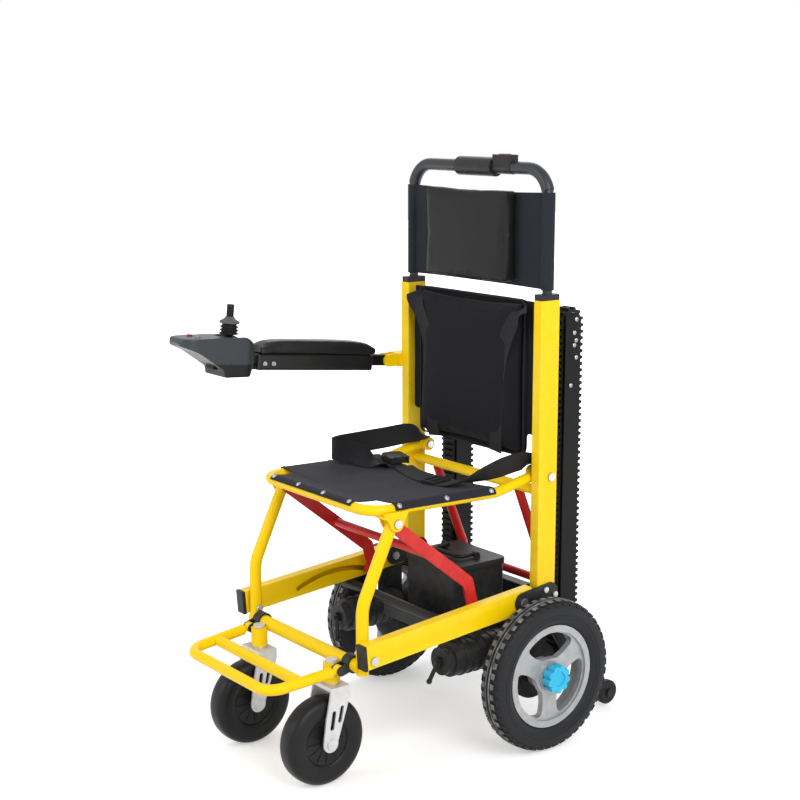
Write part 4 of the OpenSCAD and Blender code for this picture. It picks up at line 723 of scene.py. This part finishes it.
def block_ring(spot, size, tilt, pitches, start=0.0):
    """A bevelled block at (along the axle, radius) in metres, its size in millimetres, copied round the X axis."""
    obj = box_form(size, min(0.9, min(size) / 4), segments=1)
    obj.data.transform(Matrix.Rotation(start, 4, "X") @ Matrix.Translation((spot[0], 0, spot[1]))
                       @ Matrix.Rotation(tilt, 4, "Y"))
    edit(obj)
    bpy.ops.mesh.spin(steps=pitches - 1, dupli=True, angle=2 * math.pi * (pitches - 1) / pitches,
                      center=(0, 0, 0), axis=(1, 0, 0))
    done()
    return obj


def tyre_profile(half, parts, smooth=None):
    """Half a profile of (along, radius), smoothed up to one of its points, and its mirror image."""
    curve = smooth_line([Vector((x, r, 0)) for x, r in half[:smooth]], parts)
    half = [(p.x, p.y) for p in curve] + (half[smooth:] if smooth else [])
    return half + [(-x, r) for x, r in reversed(half)]


class WHEELCHAIR_OT_rear_tyres(bpy.types.Operator):
    """Rear tyres with ribs and tread blocks"""
    bl_idname = "wheelchair.rear_tyres"
    bl_label = "Rear tyres"

    def execute(self, context):
        x, y, z = REAR_HUB
        for side, name in ((1, "left"), (-1, "right")):
            self.tyre(name, place(side * x, y, z), context.scene.chair_sizes)
        return {"FINISHED"}

    def tyre(self, name, hub, sizes):
        """Casing, centre ribs, two rows of blocks on each side and two lines on each wall."""
        half = [(0.0178, 0.1013), (0.0178, 0.109), (0.0215, 0.1112), (0.0262, 0.120), (0.0278, 0.131),
                (0.0272, 0.141), (0.0250, 0.1485), (0.0205, 0.1532), (0.0130, 0.1555), (0.0062, 0.1560),
                (0.0058, 0.1595), (0.0034, 0.1600), (0.0030, 0.1572), (0.0010, 0.1572)]
        parts = [lathe(tyre_profile(half, 3, 10), 96, (0, 0, 0))]
        count, deep = sizes.tread_pitches, sizes.tread_depth * 1000
        for s in (1, -1):
            parts.append(block_ring((s * 0.0128, 0.1566), (9.8, 12.5, deep), s * math.radians(9), count))
            parts.append(block_ring((s * 0.0222, 0.1522), (6.0, 14.0, deep), s * math.radians(40), count,
                                    math.pi / count))
        for x, ring in ((0.0276, 0.1305), (0.0268, 0.1235)):
            for s in (1, -1):
                line = [(s * (x - 0.001), ring - 0.0011), (s * (x + 0.0008), ring - 0.0005),
                        (s * (x + 0.0008), ring + 0.0005), (s * (x - 0.001), ring + 0.0011)]
                parts.append(lathe(line, 96, (0, 0, 0)))
        obj = joined(parts)
        # The tread tops are marked for the pale wear colour: partly wear, partly a painted highlight of the light
        # falling on the tread.
        mark_wear_and_highlight(obj, [1.0 if math.hypot(v.co.y, v.co.z) > 0.1575 else 0.0 for v in obj.data.vertices])
        obj.data.transform(Matrix.Translation(hub))
        settle(obj, "rear_tyre_tread_" + name, "rear_wheel_" + name, "tyre rubber", ["rear_tyre_" + name])


class WHEELCHAIR_OT_casters(bpy.types.Operator):
    """Caster tyres and their ribbed hub discs"""
    bl_idname = "wheelchair.casters"
    bl_label = "Caster tyres"

    def execute(self, context):
        half = [(0.0150, 0.0470), (0.0192, 0.0478), (0.0222, 0.0520), (0.0243, 0.0600), (0.0249, 0.0690),
                (0.0240, 0.0770), (0.0205, 0.0838), (0.0150, 0.0880), (0.0080, 0.0896), (0.0015, 0.0900)]
        profile = tyre_profile(half, 4)
        x, y, z = CASTER_HUB
        for side, name in ((1, "left"), (-1, "right")):
            hub = place(side * x, y, z)
            settle(lathe(profile, 80, hub), "caster_tyre_ribbed_" + name, "caster_wheel_" + name, "caster rubber",
                   ["caster_tyre_" + name])
            self.dish(name, hub)
        return {"FINISHED"}

    def dish(self, name, hub):
        """Closed hub discs with thin radial ribs."""
        face = [(0.0172, 0.0135), (0.0176, 0.0180), (0.0160, 0.0240), (0.0158, 0.0400), (0.0178, 0.0474),
                (0.0150, 0.0474), (0.0152, 0.0135)]
        parts = []
        for s in (1, -1):
            parts.append(lathe([(s * x, r) for x, r in face], 64, (0, 0, 0)))
            parts.append(block_ring((s * 0.0164, 0.0310), (2.6, 1.5, 28.0), 0.0, 12))
        obj = joined(parts)
        obj.data.transform(Matrix.Translation(hub))
        settle(obj, "caster_dish_" + name, "caster_wheel_" + name, "black plastic")


def frame_path(width, height, corner, spot, steps=8):
    """Points round an upright rectangle with round corners."""
    path = []
    for sx, sz, start in ((1, 1, 0), (-1, 1, 90), (-1, -1, 180), (1, -1, 270)):
        for k in range(steps + 1):
            t = math.radians(start + 90 * k / steps)
            path.append(spot + Vector((sx * (width / 2 - corner) + corner * math.cos(t), 0.0,
                                       sz * (height / 2 - corner) + corner * math.sin(t))))
    return path


def cord_curve(name, path, radius, closed=False, round_steps=2):
    """A curve with a round section along a path."""
    curve = bpy.data.curves.new(name, "CURVE")
    curve.dimensions = "3D"
    spline = curve.splines.new("POLY")
    spline.points.add(len(path) - 1)
    for point, p in zip(spline.points, path):
        point.co = (*p, 1.0)
    spline.use_cyclic_u = closed
    curve.bevel_depth, curve.bevel_resolution, curve.use_fill_caps = radius, round_steps, not closed
    obj = bpy.data.objects.new(name, curve)
    bpy.context.scene.collection.objects.link(obj)
    return obj


def piping(path, radius, closed=True, round_steps=2):
    """A round cord along a path, as a mesh."""
    obj = cord_curve("piping", path, radius, closed, round_steps)
    pick(obj)
    bpy.ops.object.convert(target="MESH")
    return bpy.context.object


class WHEELCHAIR_OT_back_rest(bpy.types.Operator):
    """Back panel, its pad and the welt round it"""
    bl_idname = "wheelchair.back_rest"
    bl_label = "Back rest"

    def execute(self, context):
        patches = [box_form((42, 6.8, 50), 3.0, place(s * 183, 29.5, 900)) for s in (1, -1)]
        panel = upholstered(joined([copy_of("back_panel")] + patches), flat_behind(33), voxel=0.004, cap=0.002,
                            pressure=0.0, relax=4, crumple=0.0006)
        settle(panel, "back_panel_cover", "back_frame", "back fabric", ["back_panel"], hard=False)
        swell = context.scene.chair_sizes.pad_swell
        pad = upholstered(copy_of("back_pad"), flat_behind(25.8), voxel=0.005, cap=swell, pressure=3.0,
                          crumple=0.0007)
        settle(pad, "back_pad_cushion", "back_frame", "back fabric", ["back_pad"], hard=False)
        edge = frame_path(0.340, 0.324, 0.014, place(0, 19.8, 762))
        settle(piping(edge, 0.0022), "back_pad_welt", "back_frame", "webbing", hard=False)
        return {"FINISHED"}


class WHEELCHAIR_OT_head_rest(bpy.types.Operator):
    """Head rest sleeve round the handle's legs, and its pad"""
    bl_idname = "wheelchair.head_rest"
    bl_label = "Head rest"

    def execute(self, context):
        sleeve = self.sleeve(13.5, 3.5)
        settle(sleeve, "head_panel_sleeve", "handle", "head fabric", ["head_panel"], hard=False)
        pad = upholstered(self.pad_form(), flat_behind(32.3), voxel=0.004, cap=0.002, pressure=1.0, relax=2,
                          crumple=0.0003)
        settle(pad, "head_pad_cushion", "handle", "pad vinyl", ["head_pad"], hard=False)
        return {"FINISHED"}

    def pad_form(self):
        """A deep pad with square sides, a slack top edge and a low crown."""
        size, mid, front = (262, 35.6, 188), place(0, 14.6, 1051.5), place(0, 0, 0).y
        obj = box_form(size, 7.0, mid)
        edit(obj)
        bpy.ops.mesh.subdivide(number_cuts=5)
        done()
        for vertex in obj.data.vertices:
            u, w = (vertex.co.x - mid.x) / (size[0] / 2000), (vertex.co.z - mid.z) / (size[2] / 2000)
            if vertex.co.y < front:
                vertex.co.y -= 0.003 * (1 - u * u) * (1 - w * w)
            if w > 0.8:
                vertex.co.z -= 0.003 * (1 - u * u)
            if abs(u) > 0.8:
                vertex.co.x -= math.copysign(0.002, u) * (1 - w * w)
        return obj

    def sleeve(self, round_r, half_t, rows=28):
        """Fabric stretched between the two legs, its ends sewn round them."""
        open_at = math.degrees(math.asin(half_t / round_r))
        turn = [math.radians(180 - open_at - (360 - 2 * open_at) * k / 16) for k in range(17)]
        end = [(LEG_X + round_r * math.cos(t), LEG_Y + round_r * math.sin(t)) for t in turn]
        reach = LEG_X - round_r
        across = [reach - 2 * reach * k / 24 for k in range(1, 24)]
        loop = end + [(x, LEG_Y - half_t) for x in across]
        loop += [(-x, y) for x, y in reversed(end)] + [(-x, LEG_Y + half_t) for x in across]
        rings = []
        for j in range(rows + 1):
            ring = []
            for x, y in loop:
                bow = 1 - (x / LEG_X) ** 2
                low, high = 949 + 3 * bow, 1144 - 5 * max(0.0, bow)
                z = low + (high - low) * j / rows
                if abs(x) < reach:
                    y += 0.7 * noise.noise(Vector((x * 0.02, z * 0.02, 1.7)))
                ring.append(place(x, y, z))
            rings.append(ring)
        obj = lofted("sleeve", rings)
        apply(obj, "BEVEL", width=0.001, segments=2, limit_method="ANGLE", angle_limit=math.radians(60))
        return obj


class WHEELCHAIR_OT_handle_cover(bpy.types.Operator):
    """Soft cover over the bare part of the push handle"""
    bl_idname = "wheelchair.handle_cover"
    bl_label = "Handle cover"

    def execute(self, context):
        bend, bar = 60.0, 1190.0
        turns = [math.radians(a) for a in range(12, 91, 6)]
        side = [(-LEG_X, LEG_TOP)]
        side += [(-LEG_X + bend - bend * math.cos(t), bar - bend + bend * math.sin(t)) for t in turns]
        path = side + [(x, bar) for x in range(-130, 131, 20)] + [(-x, z) for x, z in reversed(side)]
        cover = piping([place(x, LEG_Y, z) for x, z in path], 0.0130, closed=False, round_steps=6)
        settle(cover, "handle_cover", "handle", "handle paint", hard=False)
        return {"FINISHED"}


# Seat: side tubes' X, the tubes' radius, distance of fabric and studs from their middle line, the fabric's sag
SEAT_X, TUBE_R, CLOTH_R, STUD_R, SAG = 191.5, 11.4, 12.9, 14.0, 10.0
# Front and back ends of the tubes' middle line
FRONT_Y, FRONT_Z, BACK_Y, BACK_Z = -390, 549, -72, 541
# The two sheets of fabric as they were cut, in millimetres
COVER_CUT, FLAP_CUT = (452, 256), (281, 73)


def seat_height(y):
    """Height of the seat tubes' middle line."""
    return BACK_Z + (FRONT_Z - BACK_Z) * (y - BACK_Y) / (FRONT_Y - BACK_Y)


class WHEELCHAIR_OT_seat(bpy.types.Operator):
    """Seat fabric with its front flap and press studs"""
    bl_idname = "wheelchair.seat"
    bl_label = "Seat"

    def execute(self, context):
        cover = self.sheet(self.cover_point, 64, 40)
        self.cloth(cover, "seat_cover", COVER_CUT)
        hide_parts("seat_sling")
        self.cloth(self.sheet(self.flap_point, 44, 26), "seat_front_flap", FLAP_CUT)
        self.studs(context.scene.chair_sizes.stud)
        return {"FINISHED"}

    def cover_point(self, s, t):
        """Across the seat from the left tube's outer side to the right one's, and from front to back."""
        y = -338 + COVER_CUT[1] * t
        arc, span = math.pi / 2 * TUBE_R, 2 * SEAT_X
        run = s * (span + 2 * arc)
        if arc <= run <= arc + span:
            u = 1 - 2 * (run - arc) / span
            pull = 1.1 * noise.noise(Vector((u * 3.0, t * 2.2, 0.3))) * (1 - u ** 6)
            x, z = SEAT_X * u, CLOTH_R - SAG * (1 - u * u) + pull
        else:
            a = min(run, span + 2 * arc - run) / TUBE_R
            x = math.copysign(SEAT_X + CLOTH_R * math.cos(a), 0.5 - s)
            z = CLOTH_R * math.sin(a)
        return place(x, y, seat_height(y) + z)

    def flap_point(self, s, t, start=-335, flat=0.5):
        """From the seat forward and over the front tube."""
        x = FLAP_CUT[0] * (0.5 - s)
        lift, wrap = math.radians(60), math.radians(96)
        if t < flat:
            k = t / flat
            y = start + (FRONT_Y + TUBE_R * math.cos(lift) - start) * k
            sag = SAG * (1 - k * k) * (1 - (x / SEAT_X) ** 2)
            z = seat_height(y) + CLOTH_R - sag - TUBE_R * (1 - math.sin(lift)) * k * k
        else:
            a = lift + wrap * (t - flat) / (1 - flat)
            y, z = FRONT_Y + CLOTH_R * math.cos(a), FRONT_Z + CLOTH_R * math.sin(a)
        return place(x, y, z)

    def sheet(self, shape, nx, ny):
        points = [shape(i / nx, j / ny) for i in range(nx + 1) for j in range(ny + 1)]
        faces = [(i * (ny + 1) + j, i * (ny + 1) + j + 1, (i + 1) * (ny + 1) + j + 1, (i + 1) * (ny + 1) + j)
                 for i in range(nx) for j in range(ny)]
        return mesh_object("seat cloth", points, faces)

    def cloth(self, obj, name, cut):
        face_out(obj)
        apply(obj, "SOLIDIFY", thickness=0.0024, offset=0.0)
        apply(obj, "BEVEL", width=0.0007, segments=2, limit_method="ANGLE", angle_limit=math.radians(50))
        # The seat fabric's lighter colour is painted top light.
        settle(obj, name, "seat", "seat fabric", hard=False)

    def studs(self, radius):
        """Domed press studs along the front flap and the side tubes."""
        dome = [(0.0, radius), (0.0007, radius), (0.0012, radius * 0.9), (0.0010, radius * 0.72),
                (0.0021, radius * 0.6), (0.0029, radius * 0.35), (0.0031, 0.0)]
        lean = math.radians(118)
        out = Vector((0, math.cos(lean), math.sin(lean)))
        spots = [(place(x, FRONT_Y, FRONT_Z), out) for x in (-132, -44, 44, 132)]
        lean = math.radians(38)
        for s in (1, -1):
            out = Vector((s * math.cos(lean), 0, math.sin(lean)))
            spots += [(place(s * SEAT_X, y, seat_height(y)), out) for y in (-328, -210, -94)]
        found = [lathe(dome, 20, spot + out * (STUD_R / 1000), out, closed=False) for spot, out in spots]
        settle(joined(found), "seat_studs", "seat", "steel")


class WHEELCHAIR_OT_belts(bpy.types.Operator):
    """Shoulder straps and lap belts of woven webbing"""
    bl_idname = "wheelchair.belts"
    bl_label = "Belts"

    def execute(self, context):
        thick = context.scene.chair_sizes.webbing
        self.shoulder(thick)
        self.lap(thick)
        return {"FINISHED"}

    def shoulder(self, thick):
        """Two straps from the panel's top corners down the pad; each step has the rise of the strap's width."""
        path = [(184, 11, 911, 0.4), (160, -0.4, 887, 0.5), (128, 0.6, 829, 0.3), (112, 0.6, 759, 0),
                (106, 0.6, 639, 0), (102, 3.6, 601, 0)]
        found = [ribbon([(place(s * x, y, z), Vector((1, 0, s * rise))) for x, y, z, rise in path], 0.038, thick)
                 for s in (1, -1)]
        settle(joined(found), "shoulder_webbing", "back_frame", "webbing", ["shoulder_straps"],
               hard=False)

    def lap(self, thick):
        """Belts from the seat's rear bolts; the right one turns back over the seat to the buckle."""
        by, bz, eye, above = 43.04, 564.38, 17.2, 5.3

        def on_seat(x, y, lift=0.0):
            return (x, y, seat_height(y) + TUBE_R - SAG * (1 - (x / SEAT_X) ** 2) + above + lift)

        top = bz + eye
        left = [((180.5, by, top), (1, 0, 0)), ((185, by - 20, top + 9), (0.6, 0, 0.8)),
                ((187, by - 50, top + 13), (0.3, 0, 0.95)), ((187, by - 92, top + 9), (0.25, 0, 0.97)),
                ((178, by - 134, top - 1), (0.5, -0.3, 0.8)), ((152, -130, bz - 1), (0.75, -0.7, 0.3)),
                (on_seat(114, -136, 1.0), (0.45, -1, 0)), (on_seat(70, -138), (0.1, -1, 0)),
                (on_seat(10, -130), (-0.1, -1, 0)), (on_seat(-78, -103), (-0.3, -1, 0))]
        right = [((-180.5, by, top), (1, 0, 0)), ((-186, by - 22, top + 8), (0.75, 0, -0.66)),
                 ((-188, by - 50, top + 11), (0.5, 0, -0.87)), ((-188.5, by - 110, top + 9), (0.35, 0, -0.94)),
                 ((-189, by - 180, top + 8), (0.15, 0, -1)), ((-187, by - 238, top + 8), (0, 0, -1)),
                 ((-172, by - 266, top + 8), (0, 0, -1)), ((-150, by - 262, top + 5), (0, 0.1, -1)),
                 ((-132, by - 236, top + 1), (0.2, 0.2, -0.95)), (on_seat(-116, -166, 14.0), (0.6, 0.5, -0.6)),
                 (on_seat(-100, -138, 3.0), (0.85, 0.5, -0.1)), (on_seat(-90, -124, 1.0), (0.9, 0.45, 0))]
        found = [ribbon([(place(*p), Vector(a)) for p, a in steps], 0.046, thick) for steps in (left, right)]
        settle(joined(found), "lap_webbing", "seat", "webbing", ["lap_belts"], hard=False)


class WHEELCHAIR_OT_arm_rest(bpy.types.Operator):
    """Arm pad, its cover and screws, and the lead along the beam"""
    bl_idname = "wheelchair.arm_rest"
    bl_label = "Arm rest"

    def execute(self, context):
        base = arm_place(0, 0, 12.1)

        def pad_flat(vertex):
            below = (vertex.co - base).dot(ARM_UP)
            if below < 0:
                vertex.co -= ARM_UP * below

        pad = upholstered(copy_of("arm_pad"), pad_flat, voxel=0.004, cap=0.003, pressure=2.0)
        settle(pad, "arm_pad_cushion", "armrest", "arm vinyl", ["arm_pad"], hard=False)
        head = [(0.0, 0.0052), (0.0016, 0.0052), (0.0026, 0.004), (0.0024, 0.0022), (0.0014, 0.002), (0.0014, 0.0)]
        first, second = arm_place(20, -312, -8), arm_place(20, -334, -8)
        screws = copies(lathe(head, 20, first, closed=False), [second - first])
        settle(screws, "arm_screws", "armrest", "steel")
        cover = box_form((40, 304, 35), 5.0, arm_place(0, -200, -5), -ARM_RISE)
        settle(cover, "arm_cover", "armrest", "arm vinyl")
        self.lead()
        return {"FINISHED"}

    def lead(self):
        """The controller's lead, held along the outer side of the beam."""
        side = -23.2
        steps = ((-365, -6), (-345, -0.5), (-322, 4), (-250, 4), (-180, 4), (-92, 4), (-64, 0), (-28, -6))
        path = smooth_line([arm_place(side, y, z) for y, z in steps], 5)
        lead = cord_curve("controller_lead", path, 0.003, round_steps=4)
        lead.data.materials.append(FINISHES["black rubber"])
        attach(lead, "armrest")
        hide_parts("controller_cable")


class WHEELCHAIR_OT_controller(bpy.types.Operator):
    """Controller shell, joystick, boot and collar"""
    bl_idname = "wheelchair.controller"
    bl_label = "Controller"

    def execute(self, context):
        shell = joined([copy_of("controller_case"), self.collar_seat()])
        shell.data.remesh_voxel_size = 0.0016
        pick(shell)
        bpy.ops.object.voxel_remesh()
        apply(shell, "SMOOTH", factor=0.5, iterations=26)
        settle(shell, "controller_shell", "armrest", "grey plastic", ["controller_case"], angle=60,
               hard=False)
        shell.data.materials.append(FINISHES["black plastic"])
        parting = arm_place(0, 0, -8)
        for face in shell.data.polygons:
            if (face.center - parting).dot(ARM_UP) < 0:
                face.material_index = 1
        self.ribs()
        self.stick()
        return {"FINISHED"}

    def collar_seat(self):
        """The floor round the boot, a little below the top of the shell."""
        ring = [(0.013, 0.017), (0.0203, 0.017), (0.0203, 0.033), (0.013, 0.033)]
        return lathe(ring, 40, arm_place(*STICK_FOOT), ARM_UP)

    def ribs(self):
        """Upright ribs on both sides of the base."""
        found = [box_form((3.2, 3.6, 22), 0.8, arm_place(s * 40.6, y, -22), -ARM_RISE)
                 for s in (1, -1) for y in range(-436, -386, 10)]
        settle(joined(found), "controller_ribs", "armrest", "black plastic")

    def stick(self):
        """Ribbed boot, grey collar and grip, all on the joystick."""
        foot = arm_place(*STICK_FOOT)
        boot = [(29, 0), (29, 17), (30, 20), (32, 20), (33.5, 16.5), (35.5, 16.5), (37, 19.5), (39, 19.5),
                (40.5, 16), (42.5, 16), (44, 19), (46, 19), (47.5, 15.5), (52, 15), (54, 12), (54, 0)]
        collar = [(52, 10), (52, 21), (54, 21.5), (57, 20.5), (62, 12), (66, 9.2), (66, 6)]
        grip = [(60, 0), (60, 8)]
        for z in (64 + k * 2.7 for k in range(9)):
            grip += [(z, 8.2), (z + 0.5, 7.5), (z + 1.2, 7.5), (z + 1.7, 8.2)]
        grip += [(90, 8.0), (92, 6.5), (92, 0)]
        fork = self.fork(foot)
        pieces = (("joystick_boot", boot, "black rubber"), ("joystick_collar", collar, "collar plastic"),
                  ("joystick_grip", grip, "black plastic"))
        for name, profile, look in pieces:
            obj = lathe([(a / 1000, r / 1000) for a, r in profile], 40, foot, ARM_UP, closed=profile is collar)
            if profile is boot:
                obj = joined([obj, fork])
            settle(obj, name, "joystick", look, ["joystick"] if profile is boot else [], angle=50)

    def fork(self, foot):
        """The stick's lower fork over the cross shaft, hidden in the pocket."""
        obj = box_form((9.6, 16.0, 18.0), 1.0, (0, 0, 0.020), segments=1)
        turn = Vector((0, 0, 1)).rotation_difference(ARM_UP).to_matrix().to_4x4()
        obj.data.transform(Matrix.Translation(foot) @ turn)
        return obj


class WHEELCHAIR_OT_tracks(bpy.types.Operator):
    """Stepped cover plates along the tracks, with their bolts"""
    bl_idname = "wheelchair.tracks"
    bl_label = "Track covers"

    def execute(self, context):
        head = [(0.0, 0.0046), (0.0018, 0.0046), (0.0026, 0.0036), (0.0024, 0.002), (0.0012, 0.0018),
                (0.0012, 0.0)]
        holes = [(136, 880), (131, 852), (136, 836), (131, 826), (137, 800), (123, 742)]
        plates, bolts = [], []
        for s in (1, -1):
            plates.append(self.plate(s))
            spots = [place(s * 199.6, y, z) for y, z in holes]
            bolt = lathe(head, 16, spots[0], (s, 0, 0), closed=False)
            bolts.append(copies(bolt, [p - spots[0] for p in spots[1:]]))
        settle(joined(plates), "track_cover_plates", "track_frame", "black alloy")
        settle(joined(bolts), "track_cover_bolts", "track_frame", "steel")
        return {"FINISHED"}

    def plate(self, s):
        """A plate drawn in outline, extruded and bevelled."""
        outline = [(107, 192), (151, 192), (151, 842), (142, 858), (142, 890), (107, 890)]
        inner, thick = 196.7, 0.0029
        bpy.ops.mesh.primitive_circle_add(vertices=len(outline), radius=0.01, fill_type="NGON")
        obj = bpy.context.object
        for vertex, (y, z) in zip(obj.data.vertices, outline):
            vertex.co = place(s * inner, y, z)
        edit(obj)
        bpy.ops.mesh.extrude_region_move(TRANSFORM_OT_translate={"value": (s * thick, 0, 0)})
        bpy.ops.mesh.select_all(action="SELECT")
        bpy.ops.mesh.normals_make_consistent(inside=False)
        select_edges(obj, lambda e: e.calc_face_angle(0.0) > math.radians(30))
        bpy.ops.mesh.bevel(offset=0.0007, segments=2, affect="EDGES")
        done()
        return obj


OPERATORS = [
    WHEELCHAIR_OT_finishes, WHEELCHAIR_OT_stage, WHEELCHAIR_OT_arm_rest, WHEELCHAIR_OT_foot_tread,
    WHEELCHAIR_OT_edges, WHEELCHAIR_OT_rear_tyres, WHEELCHAIR_OT_casters, WHEELCHAIR_OT_back_rest,
    WHEELCHAIR_OT_head_rest, WHEELCHAIR_OT_handle_cover, WHEELCHAIR_OT_seat, WHEELCHAIR_OT_belts,
    WHEELCHAIR_OT_controller, WHEELCHAIR_OT_tracks,
]


class WHEELCHAIR_PT_parts(bpy.types.Panel):
    """Lists the parts of the wheelchair"""
    bl_label = "Wheelchair"
    bl_space_type = "VIEW_3D"
    bl_region_type = "UI"
    bl_category = "Wheelchair"

    def draw(self, context):
        for operator in OPERATORS:
            self.layout.operator(operator.bl_idname)


SETTINGS = {"chair_sizes": ChairSizes, "chair_colours": ChairColours, "chair_stage": StageSettings}


def register():
    for cls in (*SETTINGS.values(), *OPERATORS, WHEELCHAIR_PT_parts):
        bpy.utils.register_class(cls)
    for name, cls in SETTINGS.items():
        setattr(bpy.types.Scene, name, PointerProperty(type=cls))


def unregister():
    for name in SETTINGS:
        delattr(bpy.types.Scene, name)
    for cls in (WHEELCHAIR_PT_parts, *reversed(OPERATORS), *SETTINGS.values()):
        bpy.utils.unregister_class(cls)


def main():
    register()
    clear()
    for operator in OPERATORS:
        area, name = operator.bl_idname.split(".")
        getattr(getattr(bpy.ops, area), name)()


if __name__ == "__main__":
    main()
